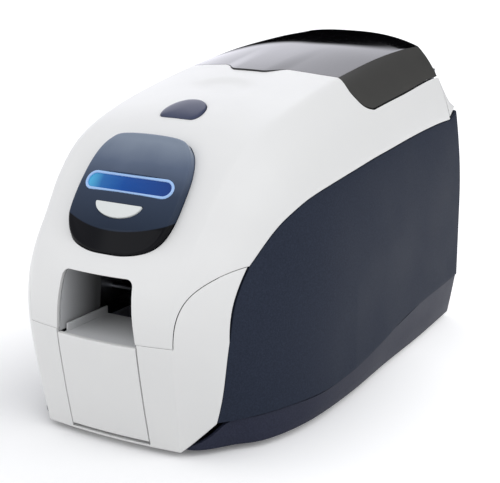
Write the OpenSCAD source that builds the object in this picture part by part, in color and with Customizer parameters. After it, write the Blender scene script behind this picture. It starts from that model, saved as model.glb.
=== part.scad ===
/* [Casing] */
// Overall width across the side panels
body_w = 201; // [197:1:208]
// Overall depth, front to hinge line
body_d = 368; // [362:1:376]
// Overall height above the table
body_h = 232; // [228:1:238]
// Wall thickness of the moulded shells
wall = 2.5; // [2:0.1:3]
// Gap left at every seam between shells
seam_gap = 0.5; // [0.3:0.1:0.8]
// Height of the rubber feet
foot_h = 4; // [3:0.5:5]
// Radius of the rubber feet
foot_r = 9; // [7:0.5:11]
// Thickness of the base floor
floor_t = 2.5; // [2:0.1:4]

/* [Card path] */
// Width of a card
card_w = 54; // [53:0.1:55]
// Length of a card
card_l = 85.6; // [84:0.1:87]
// Height of the roller shafts
shaft_z = 100; // [98:0.5:102]
// Radius of the rubber feed rollers
roller_r = 8; // [7.5:0.1:8.4]
// Radius of the pinch rollers
pinch_r = 6; // [5:0.1:6.4]
// Gap left between a roller and its pinch roller
nip = 0.8; // [0.6:0.1:1.2]
// Radius of the roller shafts
shaft_r = 3; // [2.5:0.1:3.5]
// Radial clearance of a shaft in its bush
run_fit = 0.05; // [0.03:0.01:0.08]
// Height of the card magazine walls
magazine_h = 84; // [60:1:88]
// Play beside a card in the card mouth
mouth_play = 3.5; // [2.5:0.5:5]

/* [Gears] */
// Gear module
gear_m = 1; // [0.96:0.02:1.04]
// Teeth on each roller gear
roller_teeth = 24; // [24]
// Teeth on the small idlers
idler_teeth = 32; // [32]
// Teeth on the large idler
big_teeth = 48; // [48]
// Teeth on the motor pinion
pinion_teeth = 12; // [12]
// Width of the gears
gear_w = 4; // [3:0.5:5]

/* [Chassis] */
// Clear width between the chassis plates
chassis_w = 92; // [90:1:94]
// Thickness of the chassis plates
plate_t = 1.5; // [1.2:0.1:2]
// Radius of the tie rods
tie_r = 2.5; // [2:0.1:3]
// Radius of the hinge pins
pin_r = 1.5; // [1.3:0.1:1.8]

/* [Controls] */
// Half width of the display window
lcd_w = 34; // [31:0.5:35]
// Height of the display window
lcd_h = 12.5; // [11:0.5:14]
// Half width of the control button
button_w = 17.5; // [15:0.5:19]
// Travel of the control button
button_travel = 1; // [0.8:0.1:1.5]
// Radius of the lid release button
release_r = 15; // [13:0.5:16]
// Travel of the lid release button
release_travel = 2.5; // [2:0.1:3]

/* [Hidden] */
$fn = 40;
kx = body_w / 201;
ky = body_d / 368;
kz = body_h / 232;

// Control points of the centre line of the casing, front foot to rear top (y, z)
centre_line = [
  for (p = [[-169.5, 4], [-177, 38], [-183.5, 76], [-183.5, 100], [-177, 118], [-160, 134],
            [-138, 160], [-114, 186], [-80, 202], [-30, 213], [25, 222], [80, 229],
            [125, 231.4], [158, 232]])
    [p[0] * ky, p[1] * kz]
];
// The soft shoulder line between the top and the flank
shoulder_line = [
  for (p = [[-166, 4], [-172, 38], [-177, 76], [-175, 102], [-166, 122], [-149, 143],
            [-129, 167], [-106, 186], [-72, 199], [-24, 209], [27, 216], [80, 221.5],
            [125, 223.5], [158, 223]])
    [p[0] * ky, p[1] * kz]
];
// The line where the flank runs out into the flat side
side_line = [
  for (p = [[-50, 4], [-50, 25], [-48, 45], [-44, 58], [-38, 68], [-28, 77], [-15, 85], [0, 90],
            [20, 94], [50, 97], [85, 98], [120, 99], [150, 100], [172, 100]])
    [p[0] * ky, p[1] * kz]
];
shoulder_x = kx * [52, 53, 54, 54, 55, 57, 59, 60, 60, 60, 60, 60, 60, 60];
flank_angle = [45, 38, 30, 22, 18, 17, 17, 18, 20, 24, 32, 38, 42, 44];
flank_reach = [26, 22, 18, 17, 18, 20, 24, 25, 25, 25, 25, 25, 25, 25];
flank_pull = 0.42;
flat_crown = 2.6;
last_u = len(centre_line) - 1;

// Seams, in steps along the casing (u) and across it (v)
lid_front_u = 2;
panel_front_u = 0.58;
panel_front_v = 1.287;
casing_tip_u = 4.55;
casing_tip_v = 1.41;
panel_v = 1.42;
panel_rear_v = 1.62;
visor_front_u = 9.81;
visor_corner_u = 9.94;
visor_v = 1.36;
visor_rear_v = 1.32;
tab_v = 0.37;
tab_u = 0.21;

// Places of the main hinges (y, z)
lid_axis = [180.5 * ky, 178 * kz];
visor_axis = [164.5 * ky, 203 * kz];
door_axis = [-167 * ky, 9.4];
mouth_w = card_w / 2 + mouth_play;
mouth_top = 115.5 * kz;
mouth_bottom = 73.5 * kz;
door_bottom = 7.8;
door_top = mouth_bottom - 0.5;
door_half = mouth_w - 0.5;
door_barrel_r = 2.3;
door_pin_r = 1.2;
sill_top = 5.2;
mouth_top_w = mouth_w - 3.5;
rear_y = 181 * ky;

// Heights inside the base
floor_z = foot_h + floor_t;
tray_z = mouth_bottom - 3.5;
plate_in = chassis_w / 2;
plate_out = plate_in + plate_t;

// Roller train
platen_y = -60;
exit_y = platen_y - gear_m * (roller_teeth + idler_teeth);
transport_y = platen_y + gear_m * (roller_teeth + idler_teeth);
idler_a_y = (exit_y + platen_y) / 2;
idler_b_y = (platen_y + transport_y) / 2;
big_y = transport_y + gear_m * (roller_teeth + big_teeth) / 2;
pick_y = big_y + gear_m * (roller_teeth + big_teeth) / 2;
motor_z = shaft_z - gear_m * (idler_teeth + pinion_teeth) / 2;
pinch_z = shaft_z + roller_r + nip + pinch_r;
rubber_half = 25;
gear_in = plate_out + 2.5;
shaft_end = gear_in + gear_w + 0.5;
card_z = shaft_z + roller_r;

// Card magazine
magazine_y = 47;
magazine_z = 104;
magazine_half = card_w / 2 + 1;
magazine_len = card_l + 1.4;
magazine_wall = 2;

// Upper works carried by the lid
deck_z = 190.5 * kz;
deck_t = 2;
rail_in = 50;
rail_t = 3;
spool_z = 140;
supply_y = -15;
takeup_y = -105;
head_z = card_z + 1;
latch_axis = [-99, 172 * kz];
latch_rod = [-132, 116];

// Control panel
panel_base = [-163 * ky, 139 * kz];
panel_slope = atan2(53.5 * kz, 45.5 * ky);
lcd_s = 33;
button_top_s = 18.5;
button_low_s = 8.5;
release_u = 7.965;

function mix(a, b, f) = a * (1 - f) + b * f;
function blend(f) = let (t = min(max(f, 0), 1)) t * t * (3 - 2 * t);
function unit(p) = p / norm(p);

// Value of a list of control points on a smooth curve through them
function item(L, i) = i < 0 ? 2 * L[0] - L[1] : i > last_u ? 2 * L[last_u] - L[last_u - 1] : L[i];
function on_curve(L, u) =
  let (
    i = min(max(floor(u), 0), last_u - 1),
    f = u - i,
    a = item(L, i - 1),
    b = item(L, i),
    c = item(L, i + 1),
    d = item(L, i + 2)
  )
  0.5 * (2 * b + (c - a) * f + (2 * a - 5 * b + 4 * c - d) * f * f + (3 * b - a - 3 * c + d) * f * f * f);

// Half width of the flat side at a depth y
function side_x(y) =
  kx * lookup(y / ky, [[-60, 100.5], [-20, 100.5], [30, 98.5], [80, 96], [130, 94], [180, 92]]);
// Height of the lower edge of the side panels at a depth y
function low_z(y) =
  lookup(y / ky, [[-160, 22.5], [-100, 22], [-60, 20.6], [-25, 21.5], [21, 26], [67, 32.5], [112, 35.5],
                  [152, 36.6], [180, 38]]);

// Point of the outer skin: u runs from the front foot to the rear top, v from left to right.
// v = 0 is the centre line, 1 the shoulder line, 2 the flat side.
function skin(u, v) =
  let (
    p = on_curve(centre_line, u),
    k = on_curve(shoulder_line, u),
    x = on_curve(shoulder_x, u),
    side = v < 0 ? -1 : 1,
    a = abs(v),
    sag = pow(a, mix(2, flat_crown, blend((u - 9) / 2)))
  )
  a <= 1 ? [x * v, p[0] + (k[0] - p[0]) * sag, p[1] + (k[1] - p[1]) * sag]
  : let (
      c = on_curve(side_line, u),
      w = side_x(c[0]) - x,
      reach = on_curve(flank_reach, u),
      angle = on_curve(flank_angle, u),
      t = a - 1,
      drop = 3 * (1 - t) * (1 - t) * t * reach * sin(angle) / norm(c - k)
             + 3 * (1 - t) * t * t * flank_pull + t * t * t,
      out = 3 * (1 - t) * (1 - t) * t * reach * cos(angle) / w + 3 * (1 - t) * t * t + t * t * t
    )
    [side * (x + w * out), k[0] + (c[0] - k[0]) * drop, k[1] + (c[1] - k[1]) * drop];

function across(u, x) = x / on_curve(shoulder_x, u);
// Length on the skin for one step of v
function v_length(u, v) = norm(skin(u, v + 0.02) - skin(u, v - 0.02)) / 0.04;
// Direction out of the skin
function skin_out(u, v) =
  unit(cross(skin(u, v + 0.02) - skin(u, v - 0.02), skin(u + 0.02, v) - skin(u - 0.02, v)));
function inner_skin(u, v, depth) = skin(u, v) - depth * skin_out(u, v);

// Outward directions of a grid of points
function grid_out(g) =
  let (m = len(g) - 1, n = len(g[0]) - 1)
  [for (i = [0:m]) [for (j = [0:n])
    unit(cross(g[i][min(j + 1, n)] - g[i][max(j - 1, 0)], g[min(i + 1, m)][j] - g[max(i - 1, 0)][j]))]];

// Moulded sheet: a grid of outer points thickened inward, along the directions given
module sheet(g, t, directions = undef) {
  m = len(g);
  n = len(g[0]);
  out = is_undef(directions) ? grid_out(g) : directions;
  outer = [for (i = [0:m - 1]) for (j = [0:n - 1]) g[i][j]];
  inner = [for (i = [0:m - 1]) for (j = [0:n - 1]) g[i][j] - t * out[i][j]];
  s = m * n;
  skins = [for (i = [0:m - 2]) for (j = [0:n - 2])
    let (a = i * n + j, b = a + 1, c = a + n + 1, d = a + n)
    each [[a, d, c], [a, c, b], [a + s, b + s, c + s], [a + s, c + s, d + s]]];
  cross_rims = [for (j = [0:n - 2])
    let (a = j, b = j + 1, e = (m - 1) * n + j, f = e + 1)
    each [[a, b, b + s], [a, b + s, a + s], [e, e + s, f + s], [e, f + s, f]]];
  long_rims = [for (i = [0:m - 2])
    let (a = i * n, d = a + n, e = a + n - 1, f = e + n)
    each [[d, a, a + s], [d, a + s, d + s], [e, f, f + s], [e, f + s, e + s]]];
  polyhedron(concat(outer, inner), concat(skins, cross_rims, long_rims));
}

// Moulded sheet on the casing's own skin, from a grid of [u, v] pairs
module skin_sheet(places, t) {
  sheet([for (row = places) [for (q = row) skin(q[0], q[1])]], t,
        [for (row = places) [for (q = row) skin_out(q[0], q[1])]]);
}

// Side-view outline pushed across the machine between two x places
module across_x(x0, x1) {
  translate([x0, 0, 0]) rotate([90, 0, 90]) linear_extrude(x1 - x0) children();
}
// Front-view outline pushed back from one y place to another
module along_y(y0, y1) {
  translate([0, y1, 0]) rotate([90, 0, 0]) linear_extrude(y1 - y0) children();
}
module rod_x(x0, x1, at, r) {
  translate([x0, at[0], at[1]]) rotate([0, 90, 0]) cylinder(x1 - x0, r, r);
}
module both_sides() {
  children();
  mirror([1, 0, 0]) children();
}
module box(x0, x1, y0, y1, z0, z1) {
  translate([x0, y0, z0]) cube([x1 - x0, y1 - y0, z1 - z0]);
}

// Casing

// Edge of the lid across the flank
function lid_edge(u) =
  (u < casing_tip_u ? 1.02 + 0.39 * pow(max(u - lid_front_u, 0) / (casing_tip_u - lid_front_u), 1.9)
   : mix(panel_v, panel_rear_v, blend((u - 4.6) / 4.4)));
function panel_edge(u) = u < 2.9 ? panel_v - 0.025 * (2.9 - u) * (2.9 - u) : max(lid_edge(u), panel_v);

lid_rows = 32;
lid_columns = concat([for (i = [0:5]) -2 + i / 6], [for (i = [-4:4]) i / 4], [for (i = [1:6]) 1 + i / 6]);
lid_start_u = lid_front_u + seam_gap / 80;
lid_grid = [for (i = [0:lid_rows])
  let (u = mix(lid_start_u, last_u, i / lid_rows), edge = lid_edge(u) - seam_gap / v_length(u, lid_edge(u)))
  [for (c = lid_columns) [u, abs(c) <= 1 ? c : sign(c) * (1 + (edge - 1) * (abs(c) - 1))]]];

module mouth_shape(m) {
  r = 5;
  polygon(concat(
    [[-mouth_w - m, mouth_bottom - 10], [mouth_w + m, mouth_bottom - 10], [mouth_w + m, mouth_bottom]],
    [for (a = [0:15:90]) [mouth_top_w + m - r + r * cos(a), mouth_top + m - r + r * sin(a)]],
    [for (a = [90:15:180]) [-mouth_top_w - m + r + r * cos(a), mouth_top + m - r + r * sin(a)]],
    [[-mouth_w - m, mouth_bottom]]));
}

// Front edge of the feeder cover, with its finger tab in the middle
function visor_edge(v) =
  let (a = abs(v))
  a <= 1 ? visor_front_u + (visor_corner_u - visor_front_u) * a * a * a * a - tab_u * blend((tab_v - a) / 0.07)
  : visor_corner_u - 0.13 * blend((a - 1) / 0.2) + 0.25 * pow((a - 1) / (visor_v - 1), 10);
// Lower edge of the feeder cover along the casing
function visor_low(u) = mix(visor_v, visor_rear_v, blend((u - 10.8) / (last_u - 10.8)));
tab_side_v = [for (i = [1:3]) tab_v - 0.07 * i / 3];
visor_half = concat([0, 0.15], [for (i = [3:-1:1]) tab_side_v[i - 1]], [tab_v, 0.55, 0.75, 1],
                    [for (i = [1:5]) 1 + (visor_v - 1) * sin(18 * i)]);
visor_columns = concat([for (i = [len(visor_half) - 1:-1:1]) -visor_half[i]], visor_half);
visor_rows = 9;

module visor_opening() {
  g = seam_gap;
  right = concat(
    [for (v = visor_half) let (p = skin(visor_edge(v), v)) [p[0] + (v > 1 ? g : 0), p[1] - g]],
    [for (u = [10.6, 11.2, 11.7, 12.2, last_u]) let (p = skin(u, visor_low(u))) [p[0] + g, p[1]]]);
  n = len(right) - 1;
  polygon(concat(right, [[right[n][0], 190 * ky], [-right[n][0], 190 * ky]],
                 [for (i = [n:-1:1]) [-right[i][0], right[i][1]]]));
}

module lid() {
  color("#f0f0ee") difference() {
    skin_sheet(lid_grid, wall);
    along_y(-210 * ky, -120 * ky) mouth_shape(0);
    at_panel() linear_extrude(60, center = true) shield(0.4);
    at_release() cylinder(30, release_r + 0.4, release_r + 0.4, center = true);
    translate([0, 0, 150 * kz]) linear_extrude(120) visor_opening();
  }
}

rear_columns = [-1.6, -1.53, -1.46, -1.4, -visor_rear_v, -0.7, 0, 0.7, visor_rear_v, 1.4, 1.46, 1.53, 1.6];
rear_cover_z = 196.5 * kz;
module lid_rear_cover() {
  front = [for (v = rear_columns)
    let (p = skin(last_u, v))
    abs(v) > visor_rear_v ? [p[0], p[1] + 1.5, p[2]]
    : [skin(last_u, visor_rear_v + 0.01)[0] * v / (visor_rear_v + 0.01), 161.8 * ky, rear_cover_z]];
  rear = [for (i = [0:len(front) - 1])
    let (a = abs(rear_columns[i]), f = max(a - visor_rear_v, 0) / (1.6 - visor_rear_v))
    [front[i][0] - sign(front[i][0]) * mix(1, 3, f), rear_y, lid_axis[1] + mix(0.5, -3.6, f)]];
  color("#ececea") difference() {
    sheet([front, mix(front, rear, 0.5), rear], wall);
    both_sides() box(35.4, plate_out + 0.8, 168 * ky, rear_y + 19, lid_axis[1] - 18, lid_axis[1] + 9);
    both_sides() box(visor_ear[0] - 0.4, visor_ear[1] + 0.4, 150 * ky, 167 * ky, 185 * kz, 205 * kz);
  }
}

casing_columns = concat([for (i = [-4:4]) i / 4], 
  [1.0195, 1.0215, 1.035, 1.08, 1.16, 1.23, panel_front_v, 1.31, 1.33, 1.35, 1.37, 1.385, 1.4, casing_tip_v]);
casing_rows = 10;
function casing_low(v) =
  v <= 1 ? 0
  : v <= panel_front_v ? panel_front_u * pow((v - 1) / (panel_front_v - 1), 1.2)
  : 2.9 - sqrt((panel_v - v) / 0.025);
function casing_high(v) =
  v <= 1.02 ? lid_front_u - seam_gap / 80
  : lid_front_u + (casing_tip_u - lid_front_u) * pow((v - 1.02) / 0.39, 1 / 1.9) - seam_gap / 24;
front_columns = concat([for (i = [len(casing_columns) - 1:-1:9]) -casing_columns[i]], casing_columns);
module front_casing() {
  color("#ececea") difference() {
    union() {
      skin_sheet([for (i = [0:casing_rows]) [for (v = front_columns)
        let (a = abs(v), e = a > panel_front_v ? seam_gap / 2 / v_length(2, a) : 0)
        [mix(casing_low(a), casing_high(a), i / casing_rows), sign(v) * (a - e)]]], wall);
      both_sides() box(mouth_w + 0.7, mouth_w + 5.5, -167 * ky, -162.5 * ky, 6, 14);
    }
    box(-mouth_w - 0.5, mouth_w + 0.5, -200 * ky, -150 * ky, sill_top, 90);
    rod_x(-40, 40, door_axis, door_pin_r + 0.02);
  }
}

// Side panels
panel_us = [0.45, 0.7, 1.15, 1.6, 2, 2.5, 3, 3.6, 4.2, 4.8, 5.5, 6.3, 7.2, 8.2, 9.4, 10.6, 11.8, last_u];
panel_columns = 8;
corner_steps = [[0, 0], [1.5, 0.25], [2.8, 1.1], [3.7, 2.5], [4, 4]];
function panel_point(u, j) =
  let (edge = panel_edge(u) + seam_gap / 2 / v_length(u, 1.5), v = mix(edge, 2, j / panel_columns))
  j <= panel_columns ? skin(u, v)
  : let (c = skin(u, 2)) [c[0], c[1], c[2] * (1 - (j - panel_columns) / 2)];
function rear_point(k, j) =
  let (
    p = panel_point(last_u, j),
    y = rear_y - corner_steps[4][0] + corner_steps[k][0] + 0.01,
    f = (y - p[1]) / (rear_y - 163 * ky)
  )
  [p[0] + side_x(y) - side_x(p[1]) - corner_steps[k][1] * kx, y, p[2] + (j < 3 ? (3 - j) * 2 * f : 0)];
panel_grid = concat(
  [for (u = panel_us) [for (j = [0:panel_columns + 2]) panel_point(u, j)]],
  [for (k = [0:4]) [for (j = [0:panel_columns + 2]) rear_point(k, j)]]);
module below_panel() {
  across_x(0, 120) polygon(concat([[-200, -20]],
    [for (y = [-200, -160, -100, -60, -25, 21, 67, 112, 152, 180, 200]) [y * ky, low_z(y * ky)]], [[200, -20]]));
}
module side_panel() {
  color("#2e3442") difference() {
    sheet(panel_grid, wall);
    below_panel();
  }
}
module side_panel_right() { side_panel(); }
module side_panel_left() { mirror([1, 0, 0]) side_panel(); }

// Base tray: bottom outline and the top outline under the panels
base_low = [[48, -162], [58, -159.5], [66, -152.5], [75, -139], [87, -124], [95, -98], [98.5, -66], [98, -17],
            [94, 42], [91, 107], [86.5, 165], [84, 181]];
base_front_y = -158 * ky;
function base_top(i) =
  let (p = base_low[i], y = p[1] * ky)
  i == 0 ? [48 * kx, -162 * ky, 7]
  : i == 1 ? [58 * kx, -159.5 * ky, 8]
  : i == 2 ? [66 * kx, -152.5 * ky, 13]
  : i == 3 ? [74.2 * kx, -142.2 * ky, 21.6]
  : i == 4 ? [84 * kx, -126.5 * ky, low_z(y) - seam_gap - 0.3]
  : i == 5 ? [93.6 * kx, -99.5 * ky, low_z(y) - seam_gap - 0.3]
  : i == 11 ? [87.4 * kx, rear_y, low_z(y) - seam_gap - 0.3]
  : [side_x(y) - 1, y, low_z(y) - seam_gap - 0.3];
module base_tray() {
  n = len(base_low);
  low = [for (p = base_low) [p[0] * kx, p[1] * ky, foot_h]];
  high = [for (i = [0:n - 1]) base_top(i)];
  mirrored = [for (i = [n - 1:-1:0]) [-low[i][0], low[i][1], low[i][2]]];
  mirrored_high = [for (i = [n - 1:-1:0]) [-high[i][0], high[i][1], high[i][2]]];
  ring_low = concat(low, mirrored);
  ring_high = concat(high, mirrored_high);
  m = len(ring_low);
  sides = [for (i = [0:m - 1])
    let (j = (i + 1) % m)
    each [[i, i + m, j + m], [i, j + m, j]]];
  caps = [for (i = [0:n - 2])
    let (o = m - 1 - i)
    each [[i, i + 1, o - 1], [i, o - 1, o],
          [i + m, o - 1 + m, i + 1 + m], [i + m, o + m, o - 1 + m]]];
  inset = 3;
  color("#33343c") difference() {
    polyhedron(concat(ring_low, ring_high), concat(sides, caps));
    translate([0, 0, floor_z]) linear_extrude(60) polygon(concat(
      [[45 * kx, base_front_y + inset]],
      [for (i = [2:n - 2]) [(base_low[i][0] - inset) * kx, base_low[i][1] * ky + (i < 5 ? inset : 0)]],
      [[81 * kx, rear_y - inset], [-81 * kx, rear_y - inset]],
      [for (i = [n - 2:-1:2]) [-(base_low[i][0] - inset) * kx, base_low[i][1] * ky + (i < 5 ? inset : 0)]],
      [[-45 * kx, base_front_y + inset]]));
    box(-mouth_w - 8.5, mouth_w + 8.5, -170 * ky, base_front_y, 0, 30);
    for (x = [-62, 62], y = [-125, 130]) translate([x, y, foot_h - 1]) cylinder(2, foot_r + 0.1, foot_r + 0.1);
  }
}
module rubber_feet() {
  color("#1d1d1f") for (x = [-62, 62], y = [-125, 130]) translate([x, y, 0]) {
    cylinder(foot_h + 1, foot_r, foot_r);
  }
}

// Control panel, in its own plane: x across, y up the slope, z out of it
module at_panel() {
  translate([0, panel_base[0], panel_base[1]]) rotate([panel_slope, 0, 0]) children();
}
shield_side = [[12, -13], [23, -10], [31, -5], [36, 3], [38.5, 15], [39, 30], [38, 45], [35, 57], [30, 65],
  [22, 70]];
shield_mid = 29;
module shield(m) {
  fx = 1 + m / 39;
  fs = 1 + m / 42.5;
  function grown(p, side) = [side * p[0] * fx, shield_mid + (p[1] - shield_mid) * fs];
  polygon(concat([grown([0, -13.5], 1)], [for (p = shield_side) grown(p, 1)], [grown([0, 71.5], 1)],
                 [for (i = [len(shield_side) - 1:-1:0]) grown(shield_side[i], -1)]));
}
module panel_profile(drop) {
  across_x(-50, 50)
    polygon([[2, -drop], [-14 + drop, -4.4 - drop], [-14 + drop, -14], [72 - drop, -14], [72 - drop, -drop]]);
}
module stadium(w, h) {
  r = h / 2;
  translate([0, lcd_s]) {
    square([2 * (w - r), h], center = true);
    for (x = [-1, 1]) translate([x * (w - r), 0]) circle(r);
  }
}
module button_shape(m) {
  w = button_w + m;
  low = button_low_s - m;
  top = button_top_s + m;
  polygon([for (a = [-90:15:90]) [w * sin(a), top - (top - low) * cos(a)]]);
}
face_t = 2.5;
bezel_deep = 12;
lcd_ring_t = 1.8;
board_z = -9.5;
board_t = 1.6;
module console_bezel() {
  color("#2b3548") at_panel() {
    difference() {
      intersection() {
        translate([0, 0, -bezel_deep]) linear_extrude(bezel_deep + 2) shield(0);
        panel_profile(0);
      }
      intersection() {
        translate([0, 0, -bezel_deep - 1]) linear_extrude(bezel_deep) shield(-3);
        panel_profile(face_t);
      }
      translate([0, 0, -10]) linear_extrude(20) stadium(lcd_w + lcd_ring_t + 0.1, lcd_h + 2 * lcd_ring_t + 0.2);
      translate([0, 0, -10]) linear_extrude(20) button_shape(0.3);
    }
    for (p = board_posts) translate([p[0], p[1], board_z + board_t]) cylinder(-board_z - board_t - face_t, 2, 2);
  }
}
board_posts = [[-25, 46], [25, 46], [-25, 21], [25, 21]];
module lcd_ring() {
  color("#a0c8f8") at_panel() translate([0, 0, -face_t]) difference() {
    linear_extrude(face_t + 0.3) stadium(lcd_w + lcd_ring_t, lcd_h + 2 * lcd_ring_t);
    translate([0, 0, -1]) linear_extrude(10) stadium(lcd_w + 0.05, lcd_h + 0.1);
  }
}
module lcd_window() {
  color("#14509e") at_panel() translate([0, 0, -face_t]) linear_extrude(face_t) stadium(lcd_w, lcd_h);
}
module panel_board() {
  key_top = -face_t - 0.3 - key_flange - button_travel - 0.3;
  color("#9aa0a6") at_panel() box(-31, 31, lcd_s - 5.5, lcd_s + 5.5, board_z + board_t, -face_t);
  color("#3a3a3a") at_panel() box(-3, 3, 12.5, 17.5, board_z + board_t, key_top);
  color("#1f5a33") at_panel() difference() {
    box(-29, 29, 11, 52, board_z, board_z + board_t);
    for (p = board_posts) translate([p[0], p[1], board_z - 1]) cylinder(4, 1, 1);
  }
}
key_flange = 1.2;
module control_button() {
  color("#f4f4f4") at_panel() {
    translate([0, 0, -face_t - 0.3]) linear_extrude(face_t + 0.3 + 1.2) button_shape(0);
    translate([0, 0, -face_t - 0.3 - key_flange]) linear_extrude(key_flange) button_shape(1.5);
  }
}

// Lid release button, in the plane of the skin
module at_release() {
  p = skin(release_u, 0);
  o = skin_out(release_u, 0);
  translate(p) rotate([atan2(-o[1], o[2]), 0, 0]) children();
}
latch_pad = [-78.5, 190.4 * kz];
stem_r = 4;
release_rim = -wall - 1.4;
module release_button() {
  color("#55586e") at_release() {
    translate([0, 0, release_rim]) cylinder(1.1 - release_rim, release_r, release_r - 0.5);
    translate([0, 0, release_rim - 1.2]) cylinder(1.2, release_r + 1.4, release_r + 1.4);
    translate([0, 0, -10]) cylinder(8, stem_r, stem_r);
  }
}
release_seat = release_rim - 1.2 - release_travel - 0.3;
module release_guide() {
  color("#3c3c42") at_release() {
    difference() {
      translate([0, 0, release_seat - 1.5]) cylinder(1.5, release_r + 3, release_r + 3);
      translate([0, 0, -20]) cylinder(40, stem_r + 0.3, stem_r + 0.3);
    }
    difference() {
      translate([0, 0, release_seat - 0.5])
        cylinder(release_rim + 0.3 - release_seat + 0.5, release_r + 3, release_r + 3);
      translate([0, 0, -20]) cylinder(40, release_r + 1.8, release_r + 1.8);
    }
  }
}
module latch_bar() {
  arm_in = 43.1;
  arm_out = 45.3;
  nose = [latch_rod[0] - tie_r - 0.4, latch_rod[1]];
  color("#8d9097") {
    difference() {
      union() {
        both_sides() across_x(arm_in, arm_out) polygon([
          [latch_axis[0] - 5, latch_axis[1] + 4], [latch_axis[0] + 5, latch_axis[1] + 4],
          [latch_axis[0] + 5, latch_axis[1] - 6], [nose[0] - 0.5, nose[1] + 6],
          nose, [nose[0], nose[1] - 6], [nose[0] - 6, nose[1] - 6], [nose[0] - 6, nose[1] + 4],
          [nose[0] - 2, nose[1] + 12]]);
        across_x(-arm_out, arm_out) polygon([
          [latch_axis[0] - 4, latch_axis[1] + 1.8], [latch_axis[0] - 4, latch_axis[1] + 4],
          [latch_axis[0] + 5, latch_axis[1] + 4], [latch_axis[0] + 5, latch_axis[1] + 1.8]]);
        across_x(-6, 6) polygon([
          [latch_axis[0] + 4, latch_axis[1] + 1.8], [latch_axis[0] + 4, latch_axis[1] + 4],
          [latch_pad[0] - 5, latch_pad[1]], [latch_pad[0] + 5, latch_pad[1]],
          [latch_pad[0] + 5, latch_pad[1] - 2.5], [latch_pad[0] - 4, latch_pad[1] - 2.5]]);
      }
      rod_x(-60, 60, latch_axis, pin_r + run_fit);
    }
  }
}

// Feeder cover, the smoky visor over the card magazine
module feeder_cover() {
  color("#3f3f44") sheet([for (i = [0:visor_rows]) [for (v = visor_columns)
    let (u = mix(visor_edge(v), last_u, i / visor_rows),
      side = 1 + (abs(v) - 1) * (visor_low(u) - 1) / (visor_v - 1))
    skin(u, abs(v) <= 1 ? v : sign(v) * side)]], wall);
}
visor_back_t = 2.4;
visor_knuckle = [60, 68];
module feeder_cover_back() {
  back = skin(last_u, 0)[1] - 0.05;
  section = [for (v = [-visor_rear_v, -1.26, -1.18, -1.1, -1, -0.6, 0, 0.6, 1, 1.1, 1.18, 1.26, visor_rear_v])
    let (p = inner_skin(last_u, v, wall + 0.02)) [p[0], p[2]]];
  color("#3a3a40") {
    difference() {
      union() {
        along_y(back - visor_back_t, back) polygon(section);
        both_sides() across_x(visor_knuckle[0], visor_knuckle[1]) {
          polygon([[back - visor_back_t, visor_axis[1] - 2.4], [visor_axis[0], visor_axis[1] - 2.8],
                   [visor_axis[0], visor_axis[1] + 2.8], [back - visor_back_t, visor_axis[1] + 5]]);
          translate(visor_axis) circle(2.8);
        }
      }
      rod_x(-80, 80, visor_axis, pin_r + run_fit);
    }
  }
}
module lid_pivot_pins() {
  color("#b5b8bd") both_sides() {
    rod_x(60.3, 71.8, visor_axis, pin_r);
    rod_x(43.4, 53, latch_axis, pin_r);
  }
}

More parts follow.
